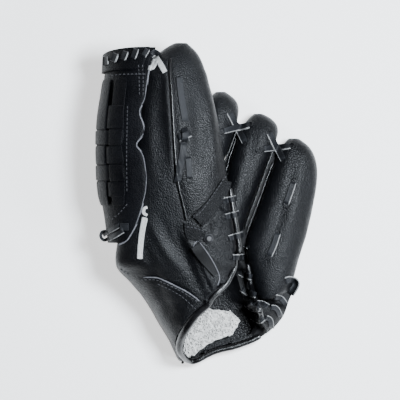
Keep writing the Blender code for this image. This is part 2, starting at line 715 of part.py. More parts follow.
class Web:
    """The woven web: a sheet that bulges left from the thumb side round to the index stall."""

    def __init__(self, hand, index):
        self.hand = hand
        self.index = index

    def row(self, along):
        """Gives the upper edge, the bulge and the lower edge of the web at a share of its length."""
        for a, b in zip(WEB_SECTIONS, WEB_SECTIONS[1:]):
            if along <= b[0] or b is WEB_SECTIONS[-1]:
                f = (along - a[0]) / (b[0] - a[0])
                bulge, lap, ruffle = [p + (q - p) * f for p, q in zip(a[1:], b[1:])]
                break
        side = WEB_ON_HAND[0] + along * (WEB_ON_HAND[1] - WEB_ON_HAND[0])
        y = self.hand.y_at(side)
        hand_left = self.hand.section(side)[0]
        root = self.index.left
        left = root - bulge * WEB_BULGE
        edge_x = max(hand_left + lap * WEB_BULGE, left + 0.22 * WEB_BULGE)
        inside = max(edge_x, hand_left + 0.0012)
        top = self.hand.surface(inside, side) + GAP + WEB_WALL
        low_x = root + self.index_left(y) - GAP * 1.5
        return y, left, edge_x, top, low_x, ruffle * WEB_BULGE

    def index_left(self, y):
        """Gives how far the index stall's left edge lies from its datum, at its height of the web."""
        along = min(max((y - self.index.foot) / self.index.length, 0.0), 0.90)
        return self.index.section(along)[0] - self.index.left

    def point(self, along, around, lift=0.0):
        """Gives a place on the web's outer face: around is 0 at the upper edge and 1 at the lower."""
        y, left, edge_x, top, low_x, ruffle = self.row(along)
        belly = WEB_BELLY * top
        low = WEB_LOW_EDGE * STALL_DEPTH
        angle = around * math.pi
        if around <= 0.5:
            x = edge_x - (edge_x - left) * math.sin(angle) ** 0.95
            z = belly + (top - belly) * math.cos(angle) ** 0.85
            x += ruffle * max(0.0, 1 - around / WEB_RUFFLE_REACH) ** 1.5
            y += WEB_TOP_RISE * along ** 8 * (1 - (2 * around) ** 2)
            z = max(z, self.over_hand(x, y))
        else:
            x = low_x - (low_x - left) * math.sin(angle) ** 0.95
            z = belly - (belly - low) * abs(math.cos(angle)) ** 0.85
        place = Vector((x, y, z))
        if lift:
            place += self.out(along, around) * lift
        return place

    def over_hand(self, x, y):
        """Gives the height that clears the thumb side under the web's wall, along its slope."""
        here, aside = self.hand.height(x, y), self.hand.height(x + 0.001, y)
        if here is None or aside is None:
            return 0.0
        steep = min(math.hypot(1.0, (aside - here) / 0.001), WEB_STEEPEST)
        return here + (GAP + WEB_WALL) * steep + CORD_CLEARANCE

    def out(self, along, around):
        """Gives the direction square to the web, away from the pocket."""
        a, b = max(along - 0.01, 0.0), min(along + 0.01, 1.0)
        c, d = max(around - 0.02, 0.0), min(around + 0.02, 1.0)
        ahead = self.point(b, around) - self.point(a, around)
        down = self.point(along, d) - self.point(along, c)
        return ahead.cross(down).normalized()

    def grid(self, alongs, arounds, lift):
        return [[self.point(a, s, lift(a, s)) for a in alongs] for s in arounds]


def shares(start, end, count):
    return [start + (end - start) * k / (count - 1) for k in range(count)]


def weave_lift(along, around, down):
    """Gives the height of a woven strap: over where row and column count is even, else under."""
    under = WEAVE_LIFT + WEB_STRAP_THICK
    over = under + WEAVE_GAP + WEB_STRAP_THICK
    row = sum(1 for cross in WEB_CROSS_STRAPS if along > cross[1] + 0.005)
    column = 0 if around < (WEB_DOWN_STRAPS[0][1] + WEB_DOWN_STRAPS[1][0]) / 2 else 1
    crossing = WEB_CROSS_STRAPS[0][0] - 0.005 <= along <= WEB_CROSS_STRAPS[-1][1] + 0.005
    if not crossing:
        return under
    top_is_down = (row + column) % 2 == 1
    return over if top_is_down == down else under


def make_web(web):
    """Makes the web's sheet, its top band and its woven straps."""
    alongs = [row[0] for row in WEB_SECTIONS]
    arounds = shares(0.0, 1.0, 11)
    slab("web_panel", web.grid(alongs, arounds, lambda a, s: 0.0), WEB_WALL, LEATHER)
    band = web.grid(shares(0.905, 0.998, 5), shares(0.03, 0.62, 13), lambda a, s: WEAVE_LIFT + BAND_THICK)
    slab("web_top_band", band, BAND_THICK, LEATHER)
    edge = 0.006
    for k, (start, end) in enumerate(WEB_DOWN_STRAPS):
        stops = [0.200]
        for low, high in WEB_CROSS_STRAPS:
            stops += [low - 0.004, (low + high) / 2, high + 0.004]
        stops += [0.870]
        grid = web.grid(stops, shares(start, end, 4), lambda a, s: weave_lift(a, s, True))
        slab("web_strap_down_%d" % (k + 1), grid, WEB_STRAP_THICK, LEATHER)
    split = (WEB_DOWN_STRAPS[0][1] + WEB_DOWN_STRAPS[1][0]) / 2
    across = shares(WEB_DOWN_STRAPS[0][0] - edge, split - edge, 4) + shares(split + edge, 0.48, 4)
    for k, (low, high) in enumerate(WEB_CROSS_STRAPS):
        middle = (low + high) / 2
        grid = web.grid(shares(low, high, 4), across, lambda a, s, m=middle: weave_lift(m, s, False))
        slab("web_strap_cross_%d" % (k + 1), grid, WEB_STRAP_THICK, LEATHER)


def make_pipings(forms, bed):
    """Makes the bead in the thumb seam and the beads in the two gaps between the stalls."""
    hand = forms["hand"]
    seam = smooth_path([hand.lifted(a, c, PIPING_RADIUS + CORD_CLEARANCE) for a, c in THUMB_SEAM], 17)
    tube("thumb_piping", seam, [PIPING_RADIUS] * len(seam), BEAD_SIDES, GLOSS_LEATHER)
    bed.add_cord(seam, PIPING_RADIUS)
    for name, side, start, end in (("middle", 1, 0.56, 0.80), ("ring", -1, 0.42, 0.84),
                                   ("ring", 1, 0.22, 0.78), ("pinky", -1, 0.40, 0.86)):
        form = forms[name]
        run = []
        for along in shares(start, end, 7):
            left, right, low, high = form.section(along)[:4]
            edge = right + GAP + GAP_PIPING_RADIUS if side > 0 else left - GAP - GAP_PIPING_RADIUS
            run.append(Vector((edge, form.y_at(along), (low + high) / 2)))
        label = "piping_%s_%s" % (name, "right" if side > 0 else "left")
        tube(label, run, [GAP_PIPING_RADIUS] * len(run), BEAD_SIDES, GLOSS_LEATHER)


def make_edges(forms, path, radii, bed):
    """Makes the heel roll, the wrist binding that goes on from it, and the laced heel edge."""
    split = 2 * len(HEEL_ROLL) - 1
    joint = path[split - 1].lerp(path[split], 0.5)
    run = (path[split] - path[split - 1]).normalized()
    roll = path[:split] + [joint - run * GAP / 2]
    binding = [joint + run * GAP / 2] + path[split:-1]
    tube("heel_roll", roll, radii[:split] + [radii[split]], TUBE_SIDES, GLOSS_LEATHER)
    tube("wrist_binding", binding, [radii[split]] + radii[split:-1], TUBE_SIDES, GLOSS_LEATHER)
    edge = heel_edge_path(forms)
    tube("heel_edge", edge, [HEEL_EDGE_RADIUS] * len(edge), TUBE_SIDES, GLOSS_LEATHER)
    return bed.add_cord(roll + binding[:9], BINDING_RADIUS), bed.add_cord(edge, HEEL_EDGE_RADIUS)


def wrap_route(path, share, inner, outer):
    """Gives a route square across a rolled edge, from its inner side to its outer side."""
    i = int(share * (len(path) - 1))
    here = path[i]
    tangent = path[min(i + 1, len(path) - 1)] - path[max(i - 1, 0)]
    aside = Vector((-tangent.y, tangent.x, 0)).normalized()
    return [(here.x + aside.x * s, here.y + aside.y * s) for s in shares(-inner, outer, 4)]


def make_laces(forms, bed, roll, edge):
    """Lays the flat laces of the thumb, web, fingers and heel."""
    hand = forms["hand"]
    for name, face, places in LACES_ON_HAND:
        route = [(hand.x_at(a, c), hand.y_at(a)) for a, c in places]
        finish = LACE_LEATHER if face == "front" else LACE_BACK
        bed.lay(name, [hand], route, LACE_WIDTH, LACE_THICK, finish)
    for name, first, start, second, end in FINGER_LACES:
        pair = (forms[first], forms[second])
        a = (pair[0].x_at(*start), pair[0].y_at(start[0]))
        b = (pair[1].x_at(*end), pair[1].y_at(end[0]))
        middle = ((a[0] + b[0]) / 2, (a[1] + b[1]) / 2)
        bed.lay(name, pair, (a, middle, b), LACE_WIDTH, LACE_THICK, LACE_LEATHER)
    pinky = forms["pinky"]
    for name, places in PINKY_DASHES:
        route = [(pinky.x_at(a, c), pinky.y_at(a)) for a, c in places]
        bed.lay(name, [pinky], route, LACE_WIDTH, LACE_THICK, LACE_LEATHER)
    for k, share in enumerate(HEEL_ROLL_LACES):
        route = wrap_route(roll, share, 0.0100, BINDING_RADIUS * WRAP_REACH)
        bed.lay("heel_roll_lace_%d" % (k + 1), [hand], route, LACE_WIDTH, LACE_THICK, LACE_LEATHER)
    for k, share in enumerate(HEEL_EDGE_LACES):
        route = wrap_route(edge, share, HEEL_EDGE_RADIUS * WRAP_REACH, 0.0075)
        route.reverse()
        bed.lay("heel_edge_lace_%d" % (k + 1), [pinky, hand], route, LACE_WIDTH, LACE_THICK,
                LACE_LEATHER)


def make_palm_parts(hand, bed):
    """Makes the band across the pocket, the flap, the wrist strap and the snap."""
    for name, places, widths in (("palm_flap", PALM_FLAP, PALM_FLAP_WIDTHS),
                                 ("pocket_band", POCKET_BAND, POCKET_BAND_WIDTHS),
                                 ("wrist_strap", WRIST_STRAP, WRIST_STRAP_WIDTHS)):
        route = [(hand.x_at(a, c), hand.y_at(a)) for a, c in places]
        bed.lay(name, [hand], route, widths, STRAP_THICK, LEATHER)
    out = hand.normal(*SNAP_PLACE)
    base = hand.lifted(*SNAP_PLACE, GAP)
    stops = ((0.0, 1.0), (0.35, 1.0), (0.5, 0.72), (0.85, 0.66), (1.0, 0.45))
    points = [base + out * SNAP_HEIGHT * rise for rise, share in stops]
    tube("snap_button", points, [SNAP_RADIUS * share for rise, share in stops], 16, SNAP_METAL)


def make_fleece(hand):
    """Makes the fleece pad on the far wall inside the hand opening."""
    along, side = FLEECE_PLACE
    left = hand.left + side * hand.width
    pad = Form(left, hand.y_at(along), FLEECE_LENGTH, FLEECE_WIDTH, FLEECE_DEPTH, FLEECE_SECTIONS,
               SHELL_WALL + FLEECE_LIFT)
    add_object("fleece_lining", pad.skin(16), FLEECE_WOOL)


def set_origin():
    """Moves every mesh so that the origin is under the middle of the glove's bounding box."""
    places = [v.co for obj in bpy.data.objects for v in obj.data.vertices]
    low = [min(p[k] for p in places) for k in range(3)]
    high = [max(p[k] for p in places) for k in range(3)]
    shift = Vector((-(low[0] + high[0]) / 2, -(low[1] + high[1]) / 2, -low[2]))
    for obj in bpy.data.objects:
        obj.data.transform(Matrix.Translation(shift))


def main():
    for obj in list(bpy.data.objects):
        bpy.data.objects.remove(obj)
    forms = make_forms()
    hand = forms["hand"]
    path, radii = rim_points(hand)
    make_hand(forms, path, radii)
    for name in ("index", "middle", "ring", "pinky"):
        make_stall(name, forms[name])
    make_web(Web(hand, forms["index"]))
    bed = Bed()
    make_pipings(forms, bed)
    roll, edge = make_edges(forms, path, radii, bed)
    make_palm_parts(hand, bed)
    make_laces(forms, bed, roll, edge)
    make_fleece(hand)
    set_origin()


main()
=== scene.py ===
"""Dresses a folded fielding glove: leather, bindings, laces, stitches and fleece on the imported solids."""

import logging
import math
import random
from collections.abc import Callable
from dataclasses import dataclass, field
from enum import Enum

import bmesh
import bpy
from mathutils import Matrix, Vector, noise
from mathutils.bvhtree import BVHTree


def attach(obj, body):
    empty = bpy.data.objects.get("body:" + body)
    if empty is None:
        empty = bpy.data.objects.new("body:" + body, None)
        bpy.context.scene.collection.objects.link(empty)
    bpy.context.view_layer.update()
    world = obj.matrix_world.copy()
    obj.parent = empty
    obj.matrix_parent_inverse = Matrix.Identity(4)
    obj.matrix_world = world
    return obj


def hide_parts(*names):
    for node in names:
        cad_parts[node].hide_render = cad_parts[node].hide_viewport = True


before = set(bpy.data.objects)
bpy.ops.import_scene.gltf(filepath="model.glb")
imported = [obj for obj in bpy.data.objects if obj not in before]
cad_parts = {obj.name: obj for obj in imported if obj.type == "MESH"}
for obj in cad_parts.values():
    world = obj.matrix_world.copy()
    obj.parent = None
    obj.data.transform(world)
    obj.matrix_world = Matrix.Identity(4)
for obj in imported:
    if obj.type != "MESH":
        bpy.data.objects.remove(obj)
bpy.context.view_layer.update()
LOG = logging.getLogger("glove")

# The photograph's frame: metres per pixel, the pixel over the origin, and the picture's side in pixels
PIXEL = 0.00095
ORIGIN_PX = 205.7
ORIGIN_PY = 204.5
PHOTO_SIDE = 400
# The camera's height, the height that it frames, and its sensor's width in millimetres
VIEW_HEIGHT = 8.0
AIM_HEIGHT = 0.03
SENSOR = 36.0
# Rays that look for a surface start above the glove, and where they find none the height is a mark
RAY_START = 0.4
NO_GROUND = -1.0
MM = 0.001
# The grain's valleys: painted shade as a share of the dark colour, how much of this painted shade shows, and
# how much duller they are
VALLEY_PAINTED_SHADE = 0.45
VALLEY_PAINTED_SHADE_SHARE = 0.6
VALLEY_DULL = 0.12
RUB_POLISH = 0.10
COAT_ROUGH = 0.25

Pixel = tuple[float, float]
Colour = tuple[float, float, float]


def spot(px: float, py: float) -> Vector:
    """Gives the place on the floor plane under a pixel of the photograph."""
    return Vector(((px - ORIGIN_PX) * PIXEL, (ORIGIN_PY - py) * PIXEL, 0.0))


class Side(Enum):
    """Which way round a lace lies."""

    GRAIN = "grain side up"
    BACK = "cut side up"


# Shader groups


def new_group(name: str, inputs: dict[str, float], outputs: dict[str, str]) -> bpy.types.NodeTree:
    """Makes an empty shader group.

    Args:
        name: Name of the group.
        inputs: Names and first values of its number inputs.
        outputs: Names and socket types of its outputs.

    Returns:
        The group with its input and output nodes.
    """
    group = bpy.data.node_groups.new(name, "ShaderNodeTree")
    for label, value in inputs.items():
        socket = group.interface.new_socket(label, in_out="INPUT", socket_type="NodeSocketFloat")
        socket.default_value = value
    for label, kind in outputs.items():
        group.interface.new_socket(label, in_out="OUTPUT", socket_type=kind)
    group.nodes.new("NodeGroupInput").name = "in"
    group.nodes.new("NodeGroupOutput").name = "out"
    return group


class Wiring:
    """Short ways to add and join nodes in one tree."""

    def __init__(self, tree: bpy.types.NodeTree) -> None:
        """Keeps the tree to work on."""
        self.tree = tree

    def add(self, kind: str, **values: object) -> bpy.types.Node:
        """Adds a node and sets its properties by name."""
        node = self.tree.nodes.new(kind)
        for key, value in values.items():
            setattr(node, key, value)
        return node

    def put(self, value: object, node: bpy.types.Node, socket: str | int) -> None:
        """Joins an output to a node's input, or sets the input to a number or colour."""
        if isinstance(value, bpy.types.NodeSocket):
            self.tree.links.new(value, node.inputs[socket])
        else:
            node.inputs[socket].default_value = value

    def math(self, operation: str, first: object, second: object = 0.0) -> bpy.types.NodeSocket:
        """Adds a step of arithmetic on sockets or numbers. ABSOLUTE uses only the first."""
        node = self.add("ShaderNodeMath", operation=operation)
        self.put(first, node, 0)
        self.put(second, node, 1)
        return node.outputs[0]

    def ramp(self, source: bpy.types.NodeSocket, low: float, high: float) -> bpy.types.NodeSocket:
        """Maps a socket's values from low..high to 0..1, softly at both ends."""
        node = self.add("ShaderNodeMapRange", interpolation_type="SMOOTHSTEP")
        self.put(source, node, "Value")
        self.put(low, node, "From Min")
        self.put(high, node, "From Max")
        return node.outputs["Result"]

    def texture(self, kind: str, place: bpy.types.NodeSocket, scale: object, values: dict[str, float],
                **options: object) -> bpy.types.Node:
        """Adds a texture.

        Args:
            kind: Type name of the node.
            place: Socket with the place that it reads.
            scale: A socket or a number.
            values: Numbers for its other inputs by name.
            **options: Properties of the node by name.

        Returns:
            The new node.
        """
        node = self.add(kind, **options)
        self.put(place, node, "Vector")
        self.put(scale, node, "Scale")
        for label, value in values.items():
            self.put(value, node, label)
        return node

    def blend(self, factor: object, first: object, second: object) -> bpy.types.NodeSocket:
        """Mixes two colours, each a socket or three numbers and a 1."""
        node = self.add("ShaderNodeMix", data_type="RGBA")
        self.put(factor, node, "Factor")
        self.put(first, node, "A")
        self.put(second, node, "B")
        return node.outputs["Result"]

    def bump(self, height: bpy.types.NodeSocket, strength: float, distance: float) -> bpy.types.NodeSocket:
        """Turns a height into a normal."""
        node = self.add("ShaderNodeBump")
        self.put(strength, node, "Strength")
        self.put(distance, node, "Distance")
        self.put(height, node, "Height")
        return node.outputs["Normal"]


def leather_grain() -> bpy.types.NodeTree:
    """Builds the pebbled grain: cells with rounded tops, fine pores and long soft creases.

    Returns:
        The group, with outputs Height and Valley.
    """
    inputs = {"Cells": 620.0, "Pores": 2600.0, "Creases": 55.0, "Crease Share": 0.35}
    group = new_group("leather_grain", inputs, {"Height": "NodeSocketFloat", "Valley": "NodeSocketFloat"})
    w = Wiring(group)
    given, out = group.nodes["in"].outputs, group.nodes["out"]
    place = w.add("ShaderNodeTexCoord").outputs["Object"]
    cells = w.texture("ShaderNodeTexVoronoi", place, given["Cells"], {"Smoothness": 0.35},
                      feature="SMOOTH_F1", distance="EUCLIDEAN")
    edges = w.texture("ShaderNodeTexVoronoi", place, given["Cells"], {}, feature="DISTANCE_TO_EDGE")
    pores = w.texture("ShaderNodeTexNoise", place, given["Pores"], {"Detail": 3.0})
    creases = w.texture("ShaderNodeTexNoise", place, given["Creases"], {"Detail": 4.0, "Distortion": 1.2})
    valley = w.math("SUBTRACT", 1.0, w.ramp(edges.outputs["Distance"], 0.0, 0.18))
    ridge = w.math("ABSOLUTE", w.math("SUBTRACT", creases.outputs["Fac"], 0.5))
    line = w.math("SUBTRACT", 1.0, w.ramp(ridge, 0.0, 0.05))
    height = w.math("SUBTRACT", 1.0, cells.outputs["Distance"])
    height = w.math("SUBTRACT", height, w.math("MULTIPLY", valley, 0.45))
    height = w.math("ADD", height, w.math("MULTIPLY", pores.outputs["Fac"], 0.25))
    height = w.math("SUBTRACT", height, w.math("MULTIPLY", line, given["Crease Share"]))
    w.put(height, out, "Height")
    w.put(valley, out, "Valley")
    return group


def surface_wear() -> bpy.types.NodeTree:
    """Builds broad wear: cloudy change of shade, and rubbed spots.

    Returns:
        The group, with outputs Shade and Rub.
    """
    group = new_group("surface_wear", {"Clouds": 16.0, "Spots": 140.0},
                      {"Shade": "NodeSocketFloat", "Rub": "NodeSocketFloat"})
    w = Wiring(group)
    given, out = group.nodes["in"].outputs, group.nodes["out"]
    place = w.add("ShaderNodeTexCoord").outputs["Object"]
    clouds = w.texture("ShaderNodeTexNoise", place, given["Clouds"], {"Detail": 5.0, "Roughness": 0.6})
    spots = w.texture("ShaderNodeTexNoise", place, given["Spots"], {"Detail": 6.0})
    shade = w.ramp(clouds.outputs["Fac"], 0.32, 0.68)
    w.put(shade, out, "Shade")
    w.put(w.math("MULTIPLY", w.ramp(spots.outputs["Fac"], 0.52, 0.72), shade), out, "Rub")
    return group


def new_material(name: str) -> tuple[bpy.types.Material, Wiring, bpy.types.Node]:
    """Makes a material, and gives it with its wiring and its shader."""
    made = bpy.data.materials.new(name)
    made.use_nodes = True
    return made, Wiring(made.node_tree), made.node_tree.nodes["Principled BSDF"]


@dataclass(frozen=True)
class Leather:
    """A black leather finish with pebbled grain and painted shade in the grain's valleys."""

    name: str
    slot: str
    dark: Colour
    light: Colour
    roughness: float = 0.33
    rough_range: float = 0.12
    cells: float = 620.0
    grain: float = 0.5
    grain_depth: float = 0.0005
    creases: float = 0.35
    coat: float = 0.0
    specular: float = 0.15

    def build(self) -> bpy.types.Material:
        """Makes the material.

        Returns:
            The finished material.
        """
        made, w, shader = new_material(self.name)
        grain = w.add("ShaderNodeGroup", node_tree=GROUPS["leather_grain"])
        w.put(self.cells, grain, "Cells")
        w.put(self.creases, grain, "Crease Share")
        wear = w.add("ShaderNodeGroup", node_tree=GROUPS["surface_wear"])
        shade, valley = wear.outputs["Shade"], grain.outputs["Valley"]
        colour = w.blend(shade, (*self.dark, 1.0), (*self.light, 1.0))
        # The base colour is darkened in the grain's valleys: painted shade in the recesses.
        painted_valley_shade = (*[c * VALLEY_PAINTED_SHADE for c in self.dark], 1.0)
        w.put(w.blend(w.math("MULTIPLY", valley, VALLEY_PAINTED_SHADE_SHARE), colour, painted_valley_shade), shader, "Base Color")
        rough = w.math("ADD", w.math("MULTIPLY", shade, self.rough_range), self.roughness)
        rough = w.math("SUBTRACT", rough, w.math("MULTIPLY", wear.outputs["Rub"], RUB_POLISH))
        rough = w.math("ADD", rough, w.math("MULTIPLY", valley, VALLEY_DULL))
        w.put(rough, shader, "Roughness")
        w.put(w.bump(grain.outputs["Height"], self.grain, self.grain_depth), shader, "Normal")
        w.put(self.specular, shader, "Specular IOR Level")
        w.put(self.coat, shader, "Coat Weight")
        w.put(COAT_ROUGH, shader, "Coat Roughness")
        return made


@dataclass(frozen=True)
class Wool:
    """A matt fibrous finish: fleece pile, thread or the cut side of a lace."""

    name: str
    slot: str
    colour: Colour
    shadow: Colour
    scale: float = 420.0
    depth: float = 0.0006
    sheen: float = 0.3

    def build(self) -> bpy.types.Material:
        """Makes the material.

        Returns:
            The finished material.
        """
        made, w, shader = new_material(self.name)
        place = w.add("ShaderNodeTexCoord").outputs["Object"]
        noises = w.texture("ShaderNodeTexNoise", place, self.scale, {"Detail": 6.0, "Distortion": 0.8})
        fibres = noises.outputs["Fac"]
        colour = w.blend(w.ramp(fibres, 0.30, 0.62), (*self.shadow, 1.0), (*self.colour, 1.0))
        w.put(colour, shader, "Base Color")
        w.put(0.9, shader, "Roughness")
        w.put(self.sheen, shader, "Sheen Weight")
        w.put(w.bump(fibres, 0.6, self.depth), shader, "Normal")
        return made


@dataclass(frozen=True)
class Lacquer:
    """A black lacquered metal finish."""

    name: str
    slot: str
    colour: Colour
    roughness: float = 0.32

    def build(self) -> bpy.types.Material:
        """Makes the material.

        Returns:
            The finished material.
        """
        made, w, shader = new_material(self.name)
        wear = w.add("ShaderNodeGroup", node_tree=GROUPS["surface_wear"])
        w.put(300.0, wear, "Clouds")
        shade = wear.outputs["Shade"]
        pale = (*[c * 1.8 for c in self.colour], 1.0)
        w.put(w.blend(shade, (*self.colour, 1.0), pale), shader, "Base Color")
        w.put(w.math("ADD", w.math("MULTIPLY", shade, 0.12), self.roughness), shader, "Roughness")
        return made


GROUPS: dict[str, bpy.types.NodeTree] = {}
FINISHES: dict[str, bpy.types.Material] = {}


def mix_finishes() -> None:
    """Builds the shared groups and every material."""
    GROUPS["leather_grain"] = leather_grain()
    GROUPS["surface_wear"] = surface_wear()
    finishes = (
        Leather("pebbled_leather", "leather", (0.0012, 0.0013, 0.0018), (0.0026, 0.0029, 0.0038)),
        Leather("web_leather", "leather", (0.0014, 0.0015, 0.0021), (0.0032, 0.0035, 0.0046), roughness=0.36,
                specular=0.06),
        Leather("band_leather", "leather", (0.0014, 0.0015, 0.0020), (0.0030, 0.0033, 0.0042), roughness=0.46,
                grain=0.6, specular=0.10),
        Leather("smooth_leather", "leather", (0.0010, 0.0010, 0.0013), (0.0024, 0.0024, 0.0030),
                roughness=0.48, cells=1100.0, grain=0.2, creases=0.2),
        Leather("binding_leather", "binding_leather", (0.0010, 0.0010, 0.0012), (0.0022, 0.0022, 0.0028),
                specular=0.28, roughness=0.22, rough_range=0.10, cells=900.0, grain=0.22, coat=0.25),
        Leather("lace_leather", "lace", (0.0050, 0.0053, 0.0064), (0.0110, 0.0118, 0.0140), roughness=0.42,
                cells=1500.0, grain=0.25, creases=0.5),
        Leather("hole_leather", "leather", (0.0015, 0.0015, 0.0015), (0.003, 0.003, 0.003), roughness=0.8),
        Wool("lace_back", "lace_back", (0.40, 0.40, 0.39), (0.24, 0.24, 0.24), scale=900.0, depth=0.0002,
             sheen=0.0),
        Wool("lace_edge", "lace_back", (0.19, 0.19, 0.19), (0.08, 0.08, 0.08), scale=1200.0, depth=0.0001,
             sheen=0.0),
        Wool("cut_edge", "leather", (0.10, 0.10, 0.11), (0.03, 0.03, 0.035), scale=900.0, depth=0.0001,
             sheen=0.0),
        Wool("fleece", "fleece", (0.46, 0.452, 0.435), (0.27, 0.266, 0.256)),
        Wool("black_thread", "leather", (0.026, 0.026, 0.030), (0.008, 0.008, 0.010), scale=2500.0,
             depth=0.0001, sheen=0.1),
        Lacquer("snap_metal", "snap", (0.004, 0.004, 0.005), roughness=0.5),
    )
    for finish in finishes:
        FINISHES[finish.name] = finish.build()


# Shared modelling


def deselect() -> None:
    """Leaves object mode and deselects everything."""
    if bpy.context.object and bpy.context.object.mode != "OBJECT":
        bpy.ops.object.mode_set(mode="OBJECT")
    bpy.ops.object.select_all(action="DESELECT")


def activate(piece: bpy.types.Object) -> None:
    """Makes a piece the only selected and the active one."""
    deselect()
    piece.select_set(True)
    bpy.context.view_layer.objects.active = piece


def apply_modifier(piece: bpy.types.Object, kind: str, **values: object) -> None:
    """Adds a modifier with its settings and applies it.

    Args:
        piece: Object to change.
        kind: Type name of the modifier.
        **values: Settings of the modifier by name.
    """
    activate(piece)
    modifier = piece.modifiers.new(kind.lower(), kind)
    for key, value in values.items():
        setattr(modifier, key, value)
    bpy.ops.object.modifier_apply(modifier=modifier.name)


def settle(piece: bpy.types.Object) -> None:
    """Moves a piece's place, turn and scale into its mesh."""
    activate(piece)
    bpy.ops.object.transform_apply(location=True, rotation=True, scale=True)


def finish_piece(piece: bpy.types.Object, finish: str, body: str = "root", angle: float = 60.0) -> None:
    """Dresses a piece, shades it and joins it to its body.

    Args:
        piece: Object to finish.
        finish: Name of its first material.
        body: Body that it rides on.
        angle: Edges sharper than this stay sharp, in degrees.
    """
    if not piece.data.materials:
        piece.data.materials.append(FINISHES[finish])
    activate(piece)
    bpy.ops.object.shade_smooth_by_angle(angle=math.radians(angle))
    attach(piece, body)
    LOG.info("%s: %d faces, %s", piece.name, len(piece.data.polygons), finish)


def copy_node(node: str, name: str) -> bpy.types.Object:
    """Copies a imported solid, merges its loose triangles and restores its four-sided faces.

    Args:
        node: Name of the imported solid.
        name: Name of the copy.

    Returns:
        The copy.
    """
    source = bpy.data.objects[node]
    piece = source.copy()
    piece.data = source.data.copy()
    piece.name = name
    piece.data.materials.clear()
    bpy.context.scene.collection.objects.link(piece)
    activate(piece)
    bpy.ops.object.mode_set(mode="EDIT")
    bpy.ops.mesh.select_all(action="SELECT")
    bpy.ops.mesh.remove_doubles(threshold=0.00002)
    bpy.ops.mesh.tris_convert_to_quads(face_threshold=math.radians(35), shape_threshold=math.radians(60))
    bpy.ops.object.mode_set(mode="OBJECT")
    return piece


def move_vertices(piece: bpy.types.Object, places: list[Vector]) -> None:
    """Moves a piece's vertices to new places, given in the vertices' order."""
    piece.data.vertices.foreach_set("co", [number for place in places for number in place])
    piece.data.update()


def displace(piece: bpy.types.Object, amount: Callable[[Vector, Vector], float]) -> None:
    """Moves every vertex along its normal.

    Args:
        piece: Mesh object to change.
        amount: Gives the way to go from a vertex's place and normal.
    """
    pairs = [(v.co.copy(), v.normal.copy()) for v in piece.data.vertices]
    move_vertices(piece, [place + normal * amount(place, normal) for place, normal in pairs])


def grid_piece(name: str, rows: list[list[Vector]]) -> bpy.types.Object:
    """Makes a sheet that faces up from a plain grid.

    Args:
        name: Name of the piece.
        rows: Places of the grid's points, a row of points for each step along it.

    Returns:
        The sheet, still without thickness.
    """
    wide = len(rows[0])
    deselect()
    bpy.ops.mesh.primitive_grid_add(x_subdivisions=wide - 1, y_subdivisions=len(rows) - 1, size=1.0)
    piece = bpy.context.object
    piece.name = name
    for i, row in enumerate(rows):
        for j, place in enumerate(row):
            piece.data.vertices[i * wide + j].co = place
    activate(piece)
    bpy.ops.object.mode_set(mode="EDIT")
    bpy.ops.mesh.select_all(action="SELECT")
    bpy.ops.mesh.normals_make_consistent(inside=False)
    bpy.ops.object.mode_set(mode="OBJECT")
    if sum(f.normal.z * f.area for f in piece.data.polygons) < 0:
        piece.data.flip_normals()
    return piece


def stamp(bm: bmesh.types.BMesh, template: bpy.types.Mesh, place: Matrix) -> None:
    """Adds a copy of a mesh to others, moved and turned to its place."""
    start = len(bm.verts)
    bm.from_mesh(template)
    bm.verts.ensure_lookup_table()
    for vertex in bm.verts[start:]:
        vertex.co = place @ vertex.co


def stamped_piece(name: str, bm: bmesh.types.BMesh, template: bpy.types.Mesh) -> bpy.types.Object:
    """Makes one piece of all stamped copies, and removes the template.

    Args:
        name: Name of the piece.
        bm: The copies, freed here.
        template: Mesh that was copied.

    Returns:
        The piece, with the template's materials.
    """
    mesh = bpy.data.meshes.new(name)
    bm.to_mesh(mesh)
    bm.free()
    for material in template.materials:
        mesh.materials.append(material)
    bpy.data.meshes.remove(template)
    piece = bpy.data.objects.new(name, mesh)
    bpy.context.scene.collection.objects.link(piece)
    return piece


def catmull(points: list[Vector], count: int) -> list[Vector]:
    """Runs a smooth curve through points.

    Args:
        points: Points to run through.
        count: How many samples to give.

    Returns:
        The samples, evenly shared among the spans.
    """
    ends = [points[0] * 2 - points[1]] + list(points) + [points[-1] * 2 - points[-2]]
    spans = len(points) - 1
    samples = []
    for k in range(count):
        place = spans * k / (count - 1)
        i = min(int(place), spans - 1)
        t = place - i
        a, b, c, d = ends[i:i + 4]
        samples.append(0.5 * (2 * b + (c - a) * t + (2 * a - 5 * b + 4 * c - d) * t * t
                              + (3 * b - a - 3 * c + d) * t ** 3))
    return samples


class Ground:
    """The dressed surfaces that laces, stitches and trim are laid on, seen from above."""

    def __init__(self) -> None:
        """Starts with no surface."""
        self.trees: dict[str, BVHTree] = {}

    def add(self, piece: bpy.types.Object) -> None:
        """Adds a finished piece's surface."""
        self.trees[piece.name] = BVHTree.FromObject(piece, bpy.context.evaluated_depsgraph_get())

    def drop(self, x: float, y: float, names: tuple[str, ...] = ()) -> tuple[Vector, Vector] | None:
        """Finds the highest surface under a place.

        Args:
            x: Place across.
            y: Place along.
            names: Beginnings of the pieces that count, or none for all.

        Returns:
            The point and its normal, or None where there is nothing.
        """
        best = None
        for name, tree in self.trees.items():
            if names and not name.startswith(names):
                continue
            hit, normal, _, _ = tree.ray_cast(Vector((x, y, RAY_START)), Vector((0, 0, -1)))
            if hit is not None and (best is None or hit.z > best[0].z):
                best = (hit, normal)
        return best


GROUND = Ground()


